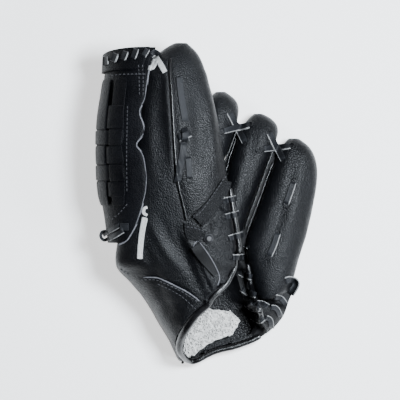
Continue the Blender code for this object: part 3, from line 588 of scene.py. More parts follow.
@dataclass(frozen=True)
class Fold:
    """A dent or ridge along a line of the photograph, pressed into soft leather.

    The line is in pixels, width and depth are in millimetres, and a negative depth makes a ridge.
    """

    line: tuple[Pixel, ...]
    width: float
    depth: float

    def press(self, piece: bpy.types.Object) -> None:
        """Moves the vertices near the line along their normals.

        Args:
            piece: Mesh object to change.
        """
        path = catmull([spot(*p) for p in self.line], 8 * len(self.line))
        reach = self.width * MM
        low = [min(p[k] for p in path) - 2.5 * reach for k in range(2)]
        high = [max(p[k] for p in path) + 2.5 * reach for k in range(2)]

        def dent(place: Vector, normal: Vector) -> float:
            """Gives how far the leather moves at a place, inwards where the depth is positive."""
            if not (low[0] < place.x < high[0] and low[1] < place.y < high[1]):
                return 0.0
            if place.z < 0.0 or normal.z < 0.05:
                return 0.0
            best, share = 1e9, 0.0
            for i, p in enumerate(path):
                away = (p.x - place.x) ** 2 + (p.y - place.y) ** 2
                if away < best:
                    best, share = away, i / (len(path) - 1)
            fade = math.sin(math.pi * min(max(share, 0.06), 0.94)) ** 0.5
            return -self.depth * MM * fade * math.exp(-best / (reach * reach))

        displace(piece, dent)


@dataclass
class SoftForm:
    """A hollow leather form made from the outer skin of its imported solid."""

    node: str
    name: str
    wall: float = 0.0026
    levels: int = 3
    wrinkle: float = 0.0006
    wrinkle_scale: float = 26.0
    folds: tuple[Fold, ...] = ()
    finish: str = "pebbled_leather"
    slice_depth: float = 0.012
    end_depth: float = 0.0006
    faces_out: float = 0.12
    rest_height: float = 0.006

    def outer_skin(self, piece: bpy.types.Object) -> None:
        """Deletes the cavity and cut walls of a hollow solid, and leaves its outer skin.

        Args:
            piece: Merged copy of the solid.
        """
        bm = bmesh.new()
        bm.from_mesh(piece.data)
        ys = [v.co.y for v in bm.verts]
        foot, tip = min(ys), max(ys)
        axes = []
        # The form's middle line is measured at this many steps along it
        steps = 60
        for k in range(steps + 1):
            y = foot + (tip - foot) * k / steps
            closest = min(abs(v.co.y - y) for v in bm.verts)
            near = [v.co for v in bm.verts if abs(v.co.y - y) < closest + self.slice_depth]
            axes.append(((min(p.x for p in near) + max(p.x for p in near)) / 2,
                         (min(p.z for p in near) + max(p.z for p in near)) / 2))
        gone = []
        for face in bm.faces:
            centre = face.calc_center_median()
            axis = axes[round((centre.y - foot) / (tip - foot) * steps)]
            out = Vector((centre.x - axis[0], 0, centre.z - axis[1])).normalized()
            at_end = centre.y > tip - self.end_depth or centre.y < foot + self.end_depth
            cap = at_end and abs(face.normal.y) > 0.8
            if not cap and face.normal.dot(out) < self.faces_out:
                gone.append(face)
        bmesh.ops.delete(bm, geom=gone, context="FACES")
        bm.to_mesh(piece.data)
        bm.free()

    def crumple(self, piece: bpy.types.Object) -> None:
        """Gives the leather its low uneven waves.

        Args:
            piece: Mesh object to change.
        """

        def wave(place: Vector, normal: Vector) -> float:
            """Gives the wave's height at a place, none where the leather rests."""
            at = place * self.wrinkle_scale
            height = noise.noise(at) + 0.5 * noise.noise(at * 2.3) + 0.25 * noise.noise(at * 5.1)
            return height * self.wrinkle * min(1.0, max(0.0, place.z - MM) / self.rest_height)

        displace(piece, wave)

    def model(self) -> bpy.types.Object:
        """Builds the piece.

        Returns:
            The finished piece.
        """
        piece = copy_node(self.node, self.name)
        self.outer_skin(piece)
        apply_modifier(piece, "SUBSURF", levels=self.levels, render_levels=self.levels)
        self.crumple(piece)
        for fold in self.folds:
            fold.press(piece)
        apply_modifier(piece, "SOLIDIFY", thickness=self.wall, offset=-1.0, use_even_offset=False)
        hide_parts(self.node)
        finish_piece(piece, self.finish)
        GROUND.add(piece)
        return piece


@dataclass
class SoftSolid:
    """A closed leather piece, such as a strap, rolled edge or the web's sheet, smoothed from its solid.

    It may be pressed nearer to another piece, and then keeps only a share of its lift off it.
    """

    node: str
    name: str
    levels: int = 2
    crease: float = 0.0
    wrinkle: float = 0.0003
    wrinkle_scale: float = 40.0
    finish: str = "smooth_leather"
    pressed_on: str = ""
    lift_kept: float = 0.6

    def press_on(self, piece: bpy.types.Object) -> None:
        """Presses the piece nearer to the one that it lies on."""
        tree = GROUND.trees[self.pressed_on]
        places = []
        for vertex in piece.data.vertices:
            near = tree.find_nearest(vertex.co)[0]
            places.append(near + (vertex.co - near) * self.lift_kept)
        move_vertices(piece, places)

    def model(self) -> bpy.types.Object:
        """Builds the piece.

        Returns:
            The finished piece.
        """
        piece = copy_node(self.node, self.name)
        if self.crease:
            layer = piece.data.attributes.new("crease_edge", "FLOAT", "EDGE")
            bm = bmesh.new()
            bm.from_mesh(piece.data)
            inner = [e for e in bm.edges if len(e.link_faces) == 2]
            sharp = [e.index for e in inner if e.calc_face_angle() > math.radians(60)]
            bm.free()
            for index in sharp:
                layer.data[index].value = self.crease
        apply_modifier(piece, "SUBSURF", levels=self.levels, render_levels=self.levels)

        def wave(place: Vector, normal: Vector) -> float:
            """Gives the wave's height at a place."""
            at = place * self.wrinkle_scale
            return (noise.noise(at) + 0.5 * noise.noise(at * 2.7)) * self.wrinkle

        displace(piece, wave)
        if self.pressed_on:
            self.press_on(piece)
        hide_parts(self.node)
        finish_piece(piece, self.finish)
        GROUND.add(piece)
        return piece


@dataclass
class Lining:
    """A leather sheet between two lines of the photograph, deep between the stalls or at the heel.

    The lines are in pixels and have as many points each. Heights and dome are in millimetres, a height for
    each point. The sheet stays above the pieces that over names, where these are lower than highest.
    """

    name: str
    left: tuple[Pixel, ...]
    right: tuple[Pixel, ...]
    heights: tuple[float, ...]
    dome: float = 3.0
    thick: float = 0.0020
    finish: str = "smooth_leather"
    over: tuple[str, ...] = ()
    highest: float = 0.042
    clear: float = 0.0010
    uneven: float = 0.0006
    uneven_scale: float = 90.0

    def model(self) -> bpy.types.Object:
        """Builds the sheet.

        Returns:
            The finished piece.
        """
        steps, columns = 6 * len(self.left), 9
        left = catmull([spot(*p) for p in self.left], steps)
        right = catmull([spot(*p) for p in self.right], steps)
        heights = [v.x * MM for v in catmull([Vector((h, 0, 0)) for h in self.heights], steps)]
        rows = []
        for start, end, height in zip(left, right, heights):
            row = []
            for j in range(columns):
                share = j / (columns - 1)
                place = start.lerp(end, share)
                place.z = height + self.dome * MM * math.sin(math.pi * share)
                place.z += self.uneven * noise.noise(place * self.uneven_scale)
                found = GROUND.drop(place.x, place.y, self.over) if self.over else None
                if found and found[0].z < self.highest:
                    place.z = max(place.z, found[0].z + self.clear)
                row.append(place)
            rows.append(row)
        piece = grid_piece(self.name, rows)
        apply_modifier(piece, "SUBSURF", levels=1, render_levels=1)
        apply_modifier(piece, "SOLIDIFY", thickness=self.thick, offset=-1.0)
        finish_piece(piece, self.finish)
        GROUND.add(piece)
        return piece


# Where a lace's lines of points run across it, as shares of half its width
ACROSS = (-1.0, -0.84, 0.0, 0.84, 1.0)


@dataclass
class Ribbon:
    """A flat lace laid over the leather along a line of the photograph, with one pale cut edge.

    The line is in pixels. A lift in millimetres for each point raises the lace off what is under it.
    A pale side of 1 is the right edge along the line, and -1 the left. Tuck says which ends go down a hole.
    """

    name: str
    line: tuple[Pixel, ...]
    width: float = 0.0056
    thick: float = 0.0014
    lifts: tuple[float, ...] = ()
    side: Side = Side.GRAIN
    over: tuple[str, ...] = ()
    node: str = ""
    tuck: tuple[bool, bool] = (True, True)
    edge: str = "lace_edge"
    face: str = ""
    pale_side: int = 1
    pointed: bool = False
    clear: float = 0.0003
    sinks: tuple[float, ...] = (0.0030, 0.0014, 0.0004)

    def rows(self) -> list[list[Vector]]:
        """Finds where the lace's points lie.

        Returns:
            A row of points across the lace for each step along it.
        """
        count = max(10, 7 * len(self.line))
        path = catmull([spot(*p) for p in self.line], count)
        lifts = self.lifts or (0.0,) * len(self.line)
        rise = [v.x for v in catmull([Vector((z, 0, 0)) for z in lifts], count)]
        rows = []
        for i, point in enumerate(path):
            run = (path[min(i + 1, count - 1)] - path[max(i - 1, 0)]).normalized()
            aside = run.cross(Vector((0, 0, 1))).normalized()
            half = self.width / 2
            if self.pointed:
                half *= min(1.0, (count - 1 - i) / (0.3 * count) + 0.12)
            rows.append([point + aside * half * k for k in ACROSS])
        for row in rows:
            for p in row:
                found = GROUND.drop(p.x, p.y, self.over)
                p.z = found[0].z if found else NO_GROUND
        self.pull_tight(rows)
        for row, up in zip(rows, rise):
            middle = max(row[2].z, sum(p.z for p in row) / 5)
            for p in row:
                p.z = max(p.z, middle - self.width * 0.35) + self.thick + self.clear + up * MM
        self.tuck_ends(rows)
        return rows

    @staticmethod
    def pull_tight(rows: list[list[Vector]]) -> None:
        """Raises low points to straight spans between high ones, as in a lace that is pulled tight.

        Args:
            rows: Rows of points, changed in place. A height of NO_GROUND means nothing is below.
        """
        for column in range(len(ACROSS)):
            run = [row[column] for row in rows]
            known = [i for i, p in enumerate(run) if p.z != NO_GROUND]
            if not known:
                for p in run:
                    p.z = 0.002
                continue
            for i in range(known[0]):
                run[i].z = run[known[0]].z
            for i in range(known[-1] + 1, len(run)):
                run[i].z = run[known[-1]].z
            for a, b in zip(known, known[1:]):
                for i in range(a + 1, b):
                    run[i].z = run[a].z + (run[b].z - run[a].z) * (i - a) / (b - a)
            before = [p.z for p in run]
            for _ in range(3):
                level = [p.z for p in run]
                for i in range(1, len(run) - 1):
                    run[i].z = max(before[i], (level[i - 1] + level[i] * 2 + level[i + 1]) / 4)

    def tuck_ends(self, rows: list[list[Vector]]) -> None:
        """Bends the tucked ends down into their holes, in place."""
        for i, sink in enumerate(self.sinks):
            for tucked, row in zip(self.tuck, (rows[i], rows[-1 - i])):
                if tucked:
                    for p in row:
                        p.z -= sink

    def model(self) -> bpy.types.Object:
        """Builds the lace.

        Returns:
            The finished piece.
        """
        piece = grid_piece(self.name, self.rows())
        face = self.face or ("lace_back" if self.side is Side.BACK else "lace_leather")
        for finish in (face, self.edge):
            piece.data.materials.append(FINISHES[finish])
        strips = len(ACROSS) - 1
        pale = strips - 1 if self.pale_side > 0 else 0
        for index in range(pale, len(piece.data.polygons), strips):
            piece.data.polygons[index].material_index = 1
        apply_modifier(piece, "SUBSURF", levels=1, render_levels=1, boundary_smooth="PRESERVE_CORNERS")
        apply_modifier(piece, "SOLIDIFY", thickness=self.thick, offset=-1.0)
        apply_modifier(piece, "BEVEL", width=0.0002, segments=1, limit_method="ANGLE",
                       angle_limit=math.radians(50))
        if self.node:
            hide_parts(self.node)
        finish_piece(piece, face)
        GROUND.add(piece)
        return piece


@dataclass
class StitchRow:
    """A row of thread stitches along a line of the photograph."""

    name: str
    lines: tuple[tuple[Pixel, ...], ...]
    pitch: float = 0.0036
    length: float = 0.0027
    thick: float = 0.0008
    over: tuple[str, ...] = ()
    finish: str = "black_thread"

    def one_stitch(self) -> bpy.types.Mesh:
        """Models one stitch lying along X: a short thread whose ends dip into the leather.

        Returns:
            The stitch's mesh.
        """
        deselect()
        bpy.ops.mesh.primitive_cylinder_add(vertices=6, radius=self.thick / 2, depth=self.length * 0.55,
                                            end_fill_type="NGON", rotation=(0, math.pi / 2, 0))
        stitch = bpy.context.object
        settle(stitch)
        bpy.ops.object.mode_set(mode="EDIT")
        bm = bmesh.from_edit_mesh(stitch.data)
        for end in (-1, 1):
            for face in bm.faces:
                face.select_set(face.normal.x * end > 0.9)
            bmesh.update_edit_mesh(stitch.data)
            bpy.ops.mesh.extrude_region_move(TRANSFORM_OT_translate={
                "value": (end * self.length * 0.22, 0, -self.thick * 0.7)})
            bpy.ops.transform.resize(value=(1.0, 0.55, 0.55))
            bm = bmesh.from_edit_mesh(stitch.data)
        bpy.ops.object.mode_set(mode="OBJECT")
        mesh = stitch.data
        bpy.data.objects.remove(stitch)
        return mesh

    def model(self) -> bpy.types.Object:
        """Sets a copy of the stitch at each step of every line.

        Returns:
            The finished piece, all its stitches in one mesh.
        """
        stitch = self.one_stitch()
        bm = bmesh.new()
        for line in self.lines:
            path = catmull([spot(*p) for p in line], 40 * len(line))
            travelled = self.pitch
            for a, b in zip(path, path[1:]):
                travelled += (b - a).length
                if travelled < self.pitch:
                    continue
                travelled = 0.0
                found = GROUND.drop(a.x, a.y, self.over)
                ahead = GROUND.drop(b.x, b.y, self.over)
                if not found or not ahead:
                    continue
                run = (ahead[0] - found[0]).normalized()
                up = (found[1] - run * found[1].dot(run)).normalized()
                turn = Matrix((run, up.cross(run), up)).transposed().to_4x4()
                stamp(bm, stitch, Matrix.Translation(found[0] + up * self.thick * 0.28) @ turn)
        piece = stamped_piece(self.name, bm, stitch)
        finish_piece(piece, self.finish)
        return piece


@dataclass
class LaceHoles:
    """Punched holes: a dark pit with a pressed rim round it at each place."""

    name: str
    places: tuple[Pixel, ...]
    radius: float = 0.0022
    over: tuple[str, ...] = ()

    def model(self) -> bpy.types.Object:
        """Builds one hole and copies it to each place.

        Returns:
            The finished piece, all its holes in one mesh.
        """
        deselect()
        bpy.ops.mesh.primitive_circle_add(vertices=16, radius=self.radius * 1.45, fill_type="NGON")
        hole = bpy.context.object
        bpy.ops.object.mode_set(mode="EDIT")
        bpy.ops.mesh.inset(thickness=self.radius * 0.25, depth=self.radius * 0.20)
        bpy.ops.mesh.inset(thickness=self.radius * 0.25, depth=-self.radius * 0.05)
        bpy.ops.mesh.inset(thickness=self.radius * 0.12, depth=-self.radius * 0.45)
        bpy.ops.object.mode_set(mode="OBJECT")
        hole.data.materials.append(FINISHES["pebbled_leather"])
        hole.data.materials.append(FINISHES["hole_leather"])
        pit = max(hole.data.polygons, key=lambda f: len(f.vertices))
        pit.material_index = 1
        template = hole.data
        bpy.data.objects.remove(hole)
        bm = bmesh.new()
        for px, py in self.places:
            flat = spot(px, py)
            found = GROUND.drop(flat.x, flat.y, self.over)
            if not found:
                continue
            turn = found[1].to_track_quat("Z", "Y").to_matrix().to_4x4()
            stamp(bm, template, Matrix.Translation(found[0] + found[1] * 0.0001) @ turn)
        piece = stamped_piece(self.name, bm, template)
        finish_piece(piece, "pebbled_leather")
        return piece


# Sub-assemblies


@dataclass
class Shell:
    """The hand shell and the four finger stalls."""

    wall: float = 0.0026
    hand_folds: tuple[Fold, ...] = (
        Fold(((186, 236), (194, 250), (203, 268), (212, 288)), 4.0, -2.6),
        Fold(((176, 232), (184, 252), (193, 274), (203, 296)), 4.5, 2.2),
        Fold(((150, 222), (158, 238), (168, 254), (178, 268)), 4.0, -1.8),
        Fold(((160, 216), (168, 234), (178, 252), (188, 270)), 3.5, 1.2),
        Fold(((170, 66), (172, 100), (175, 137), (178, 178), (187, 221)), 3.0, 1.6),
        Fold(((141, 277), (156, 277), (166, 281), (183, 289), (201, 301)), 1.6, 1.0),
        Fold(((193, 78), (197, 110), (199, 140), (200, 170)), 9.0, 3.0),
        Fold(((207, 76), (212, 110), (214, 140), (216, 166)), 4.0, -1.4),
        Fold(((160, 80), (158, 110), (160, 140), (163, 170)), 8.0, 2.0),
        Fold(((166, 62), (168.5, 100), (171.5, 137), (173.5, 168)), 3.5, -1.6),
        Fold(((212, 196), (218, 202), (224, 206)), 2.2, 1.0),
        Fold(((210, 208), (218, 216), (226, 222)), 2.2, 1.2),
        Fold(((214, 236), (222, 240), (229, 244)), 2.4, 1.2),
        Fold(((216, 250), (224, 254), (232, 258)), 2.4, 1.1),
        Fold(((212, 218), (213, 226), (214, 234)), 2.0, 1.3),
        Fold(((146, 250), (154, 268), (160, 290), (170, 312)), 5.0, 1.6),
        Fold(((194, 252), (201, 268), (208, 284), (211, 290)), 2.0, 1.6),
        Fold(((216, 200), (222, 206), (228, 212)), 2.0, 1.3),
        Fold(((212, 226), (220, 229), (227, 233)), 2.2, 1.5),
    )
    stall_folds: dict[str, tuple[Fold, ...]] = field(default_factory=lambda: {
        "middle": (Fold(((226, 106), (229, 125), (231, 145)), 4.0, 1.0),),
        "ring": (Fold(((256, 122), (254, 145), (250, 175), (246, 205)), 6.0, 1.4),
                 Fold(((246, 150), (255, 154), (266, 154)), 2.4, 0.9)),
        "pinky": (Fold(((297, 152), (288, 190), (276, 230), (262, 262)), 6.0, 1.6),
                  Fold(((308, 170), (306, 200), (296, 240)), 5.0, 1.0)),
        "index": (),
    })
    linings: tuple[Lining, ...] = (
        Lining("gap_lining_left", ((232, 118), (229, 145), (220, 174)), ((243, 126), (238, 150), (230, 182)),
               (12, 14, 16), dome=1.0),
        Lining("gap_lining_right", ((266, 138), (256, 175), (245, 208), (234, 245)),
               ((282, 146), (272, 180), (260, 215), (254, 262)), (12, 14, 16, 16), dome=1.0),
        Lining("heel_wing", ((232, 246), (237, 275), (244, 298), (256, 318), (248, 339)),
               ((270, 258), (294, 280), (289, 301), (281, 320), (262, 337.0)), (11, 11, 14, 16, 10),
               over=("hand",)),
    )

    def build(self) -> None:
        """Models the shells in order, the stalls first."""
        for finger, folds in self.stall_folds.items():
            SoftForm("finger_stall_" + finger, "stall_" + finger, wall=self.wall, folds=folds).model()
        SoftForm("hand_shell", "hand_leather", wall=self.wall, folds=self.hand_folds).model()
        for lining in self.linings:
            lining.model()


@dataclass
class WovenWeb:
    """The web's sheet, its band, its woven straps and its rows of stitches."""

    crosses: int = 5
    stitches: tuple[tuple[Pixel, ...], ...] = (
        ((128, 108), (127.6, 130), (127.2, 160), (127.6, 193)),
        ((139, 67), (139.6, 80), (140, 97)),
        ((143, 67), (143.6, 80), (143.6, 97)),
        ((127, 205), (120, 213), (112, 220)),
        ((105, 77), (123, 75.2), (146, 75)),
    )
    ruffle: tuple[Pixel, ...] = (
        (152, 67), (149, 75), (146, 99), (140, 112), (144, 125), (145, 134), (137, 145), (144, 155),
        (147, 171), (147.5, 182), (146, 195), (142, 209), (138.6, 221), (131, 235), (126.5, 241), (119, 245),
    )

    @staticmethod
    def strap(node: str, name: str) -> None:
        """Models one woven strap, pressed on the sheet."""
        SoftSolid(node, name, crease=0.3, finish="web_leather", pressed_on="web_sheet").model()

    def build(self) -> None:
        """Models the web from its sheet outwards."""
        SoftSolid("web_panel", "web_sheet", crease=0.55, finish="web_leather").model()
        SoftSolid("web_top_band", "web_band", crease=0.5, finish="web_leather").model()
        for k in (1, 2):
            self.strap("web_strap_down_%d" % k, "web_down_%d" % k)
        for k in range(1, self.crosses + 1):
            self.strap("web_strap_cross_%d" % k, "web_cross_%d" % k)
        StitchRow("web_stitches", self.stitches).model()
        Ribbon("web_ruffle_edge", self.ruffle, width=0.0011, thick=0.0006, face="cut_edge", edge="cut_edge",
               over=("web_sheet", "web_band")).model()


@dataclass
class Edges:
    """Rolled bindings and the beads in the seams."""

    rolls: tuple[str, ...] = ("wrist_binding", "heel_roll", "heel_edge")
    beads: tuple[str, ...] = ("thumb_piping", "piping_middle_right", "piping_ring_left", "piping_ring_right",
                              "piping_pinky_left")

    def build(self) -> None:
        """Models the rolls, then the beads."""
        for node in self.rolls:
            SoftSolid(node, node + "_leather", wrinkle=0.00025, wrinkle_scale=120.0,
                      finish="binding_leather").model()
        for node in self.beads:
            SoftSolid(node, node + "_bead", wrinkle=0.0001, wrinkle_scale=200.0,
                      finish="binding_leather").model()


@dataclass
class PalmParts:
    """The band across the pocket, the flap, the wrist strap and the snap."""

    stitches: tuple[tuple[Pixel, ...], ...] = (
        ((227.5, 174), (221, 183), (208, 202), (201, 211.5), (193.5, 217.5)),
        ((184, 226.5), (195, 227.6), (209, 233.5)),
    )
    strap_edge: tuple[Pixel, ...] = (
        (192.5, 247.5), (197.6, 240.8), (205, 249), (212.6, 260.5), (218.2, 272), (219.4, 279), (217, 286),
    )
    panel_edge: tuple[Pixel, ...] = (
        (141, 277.3), (156, 277.3), (166, 281), (182.5, 289), (191, 294), (200.5, 301),
    )
    wrist_stitches: tuple[tuple[Pixel, ...], ...] = (
        ((142, 279.5), (156, 279.5), (166, 283.5), (181, 290.5), (199, 302)),
        ((159, 284), (168, 288), (182, 296), (196, 308.6)),
        ((122, 269.5), (126, 272), (130, 274.5)),
    )

    def build(self) -> None:
        """Models the flap first and the snap last."""
        for node, finish in (("palm_flap", "band_leather"), ("pocket_band", "band_leather"),
                             ("wrist_strap", "smooth_leather")):
            SoftSolid(node, node + "_leather", levels=3, crease=0.7, wrinkle=0.0002, finish=finish).model()
        Ribbon("wrist_strap_edge", self.strap_edge, width=0.0007, thick=0.0006, face="cut_edge",
               edge="cut_edge", over=("wrist_strap", "hand")).model()
        Ribbon("wrist_panel_edge", self.panel_edge, width=0.0009, thick=0.0009, face="cut_edge",
               edge="cut_edge", over=("hand",)).model()
        SoftSolid("snap_button", "snap_cap", crease=0.5, wrinkle=0.0, finish="snap_metal").model()
        StitchRow("palm_stitches", self.stitches).model()
        StitchRow("wrist_stitches", self.wrist_stitches, over=("hand",)).model()


@dataclass
class Lacing:
    """Every lace, tail, knot and hole."""

    holes: tuple[Pixel, ...] = (
        (228.7, 110.5), (222.3, 131.5), (250.4, 124.4), (245.3, 144), (268.8, 131.6), (262.2, 149.4),
        (291.7, 145.3), (283.6, 161.5), (293.8, 181), (285.5, 205), (278, 232), (268.5, 257),
        (222.8, 201), (224.3, 217), (227.5, 238.5), (231.5, 257), (189.7, 180.5), (248.3, 247.3),
        (252, 280), (256, 297.5), (259.7, 310.7), (264.6, 319.3),
    )

    def laces(self) -> list[Ribbon]:
        """Lists the laces from the lowest to the uppermost, because each lies on those before it.

        Returns:
            The laces to model.
        """
        rolls = (((222.8, 201), (230, 199.5), (237, 198)), ((224.3, 217), (232, 215), (240, 213)),
                 ((227.5, 238.5), (236, 236), (244, 234)), ((231.5, 257), (238, 257), (245.5, 257)))
        arcs = (((112.5, 63), (114.5, 58.5), (116.5, 53.5)), ((122.5, 61), (124.5, 56.5), (126.5, 51.5)),
                ((133, 60), (135, 54.5), (137, 49)), ((143.5, 58), (146, 53.5), (148.3, 49.5)))
        grey_tail = {"edge": "lace_leather", "pale_side": -1, "width": 0.0062}
        heel = {"pale_side": -1, "width": 0.0048}
        foot_band = {"width": 0.0044, "lifts": (0.3, 0.6, 0)}
        return [
            Ribbon("cross_lace_a_under", ((228.7, 111), (237, 127), (245.3, 144)), node="finger_lace_a_over"),
            Ribbon("cross_lace_a_over", ((222.3, 131.5), (236, 128), (250.4, 124.4)), lifts=(0, 0.6, 0),
                   node="finger_lace_a_under"),
            Ribbon("cross_lace_b_under", ((262.2, 149.4), (277, 147.5), (291.7, 145.3)),
                   node="finger_lace_b_under"),
            Ribbon("cross_lace_b_over", ((268.8, 131.6), (276, 146), (283.6, 161.5)), lifts=(0, 0.6, 0),
                   node="finger_lace_b_over"),
            Ribbon("pinky_dash_upper", ((293.8, 181), (290, 193), (285.5, 205)), pale_side=-1,
                   node="pinky_lace_dash_1"),
            Ribbon("pinky_dash_lower", ((278, 232), (274, 245), (268.5, 257)), pale_side=-1,
                   node="pinky_lace_dash_2"),
            Ribbon("thumb_dash", ((188, 156), (189.3, 168), (189.7, 180)), edge="lace_leather",
                   node="thumb_lace_dash"),
            Ribbon("thumb_tail_upper", ((179.5, 78), (182, 100), (186, 124)), node="thumb_lace_upper_tail",
                   tuck=(False, True), **grey_tail),
            Ribbon("thumb_tail_lower", ((184.5, 141), (181.5, 162), (177.3, 183.4)),
                   node="thumb_lace_lower_tail", tuck=(True, False), **grey_tail),
            Ribbon("thumb_knot", ((177.5, 139), (184, 136.5), (191, 133.5)), width=0.0068,
                   lifts=(0.4, 1.6, 0.4), node="thumb_lace_knot"),
            Ribbon("white_tail", ((145.3, 216), (142.6, 230), (140.8, 244), (140, 258.6)), width=0.0052,
                   side=Side.BACK, node="web_lace_white_tail", tuck=(True, False)),
            Ribbon("web_top_tail", ((155, 56), (160, 64), (165, 73)), width=0.0050, side=Side.BACK,
                   node="web_top_tail_long", tuck=(True, False)),
            Ribbon("web_point_tail", ((156, 60), (153.5, 66), (150, 71)), width=0.0040, side=Side.BACK,
                   pointed=True, tuck=(True, False)),
            *(Ribbon("roll_lace_%d" % k, line, pale_side=-1, node="heel_roll_lace_%d" % k)
              for k, line in enumerate(rolls, 1)),
            Ribbon("heel_lace_1", ((239, 272.0), (246, 276.0), (252.5, 277.5)), node="heel_edge_lace_1"),
            Ribbon("heel_lace_2", ((241, 288.6), (249, 293.4), (256.5, 295.0)), node="heel_edge_lace_2"),
            Ribbon("heel_lace_3", ((245.5, 303.8), (253, 309.0), (260, 308.0)), lifts=(0, 0.5, 0)),
            Ribbon("heel_lace_4", ((251.0, 316.4), (258.5, 320.8), (264.6, 317.0)), node="heel_edge_lace_3"),
            Ribbon("heel_arc_1", ((256.6, 302.4), (263, 303.4), (268.6, 306.7)), **heel),
            Ribbon("heel_arc_2", ((270.4, 307), (276.7, 308.6), (281.3, 317.6)), lifts=(0, 0.5, 0), **heel),
            Ribbon("heel_arc_3", ((274.4, 297.5), (281.3, 298.6), (286.4, 305)), lifts=(0, 0.5, 0), **heel),
            Ribbon("heel_arc_4", ((265.2, 317.3), (270.4, 320), (272, 329)), lifts=(0, 0.5, 0), **heel),
            Ribbon("heel_side_lace", ((284.5, 281), (291, 279.5), (296, 284), (290.5, 294.6)), pale_side=-1,
                   width=0.0062, lifts=(0, 0.6, 0.6, 0)),
            Ribbon("web_arc_1", ((106, 66), (105.3, 61), (105.5, 56.5)), width=0.0050, lifts=(0, 0.6, 0.2)),
            *(Ribbon("web_arc_%d" % k, line, width=0.0052, lifts=(0, 0.8, 0.2))
              for k, line in enumerate(arcs, 2)),
            Ribbon("web_top_knot", ((150.5, 57), (155, 53.5), (159.5, 56.5)), width=0.0060,
                   lifts=(0, 1.4, 0)),
            Ribbon("web_foot_band_1", ((103, 235), (112, 229.5), (121.5, 224.5)), **foot_band),
            Ribbon("web_foot_band_2", ((108, 239.5), (116, 235), (124.5, 230)), **foot_band),
            Ribbon("web_foot_loop", ((107, 231), (102.2, 232), (101, 236.5), (104.2, 240), (109, 238.5)),
                   width=0.0030, lifts=(0, 0.8, 1.0, 0.8, 0), tuck=(False, False)),
            Ribbon("web_foot_tab", ((120.5, 226.8), (124.6, 226.8), (128.8, 226.8)), edge="lace_leather",
                   width=0.0068, lifts=(0.8, 0.9, 0.6), tuck=(False, False)),
            Ribbon("white_loop", ((148, 207), (144.5, 208.5), (144, 213), (148, 215.5)), width=0.0026,
                   side=Side.BACK, lifts=(0, 0.8, 0.8, 0)),
            Ribbon("thumb_knot_cross", ((184, 128), (185.5, 135), (184.8, 143)), edge="lace_leather",
                   width=0.0058, lifts=(0.2, 1.6, 0.2)),
            Ribbon("roll_end_lace", ((244, 245), (246.5, 246.5), (248.6, 247.8)), width=0.0034),
        ]

    def build(self) -> None:
        """Models the holes, then the laces over them."""
        LaceHoles("lace_holes", self.holes, over=("hand", "stall", "web")).model()
        for lace in self.laces():
            lace.model()


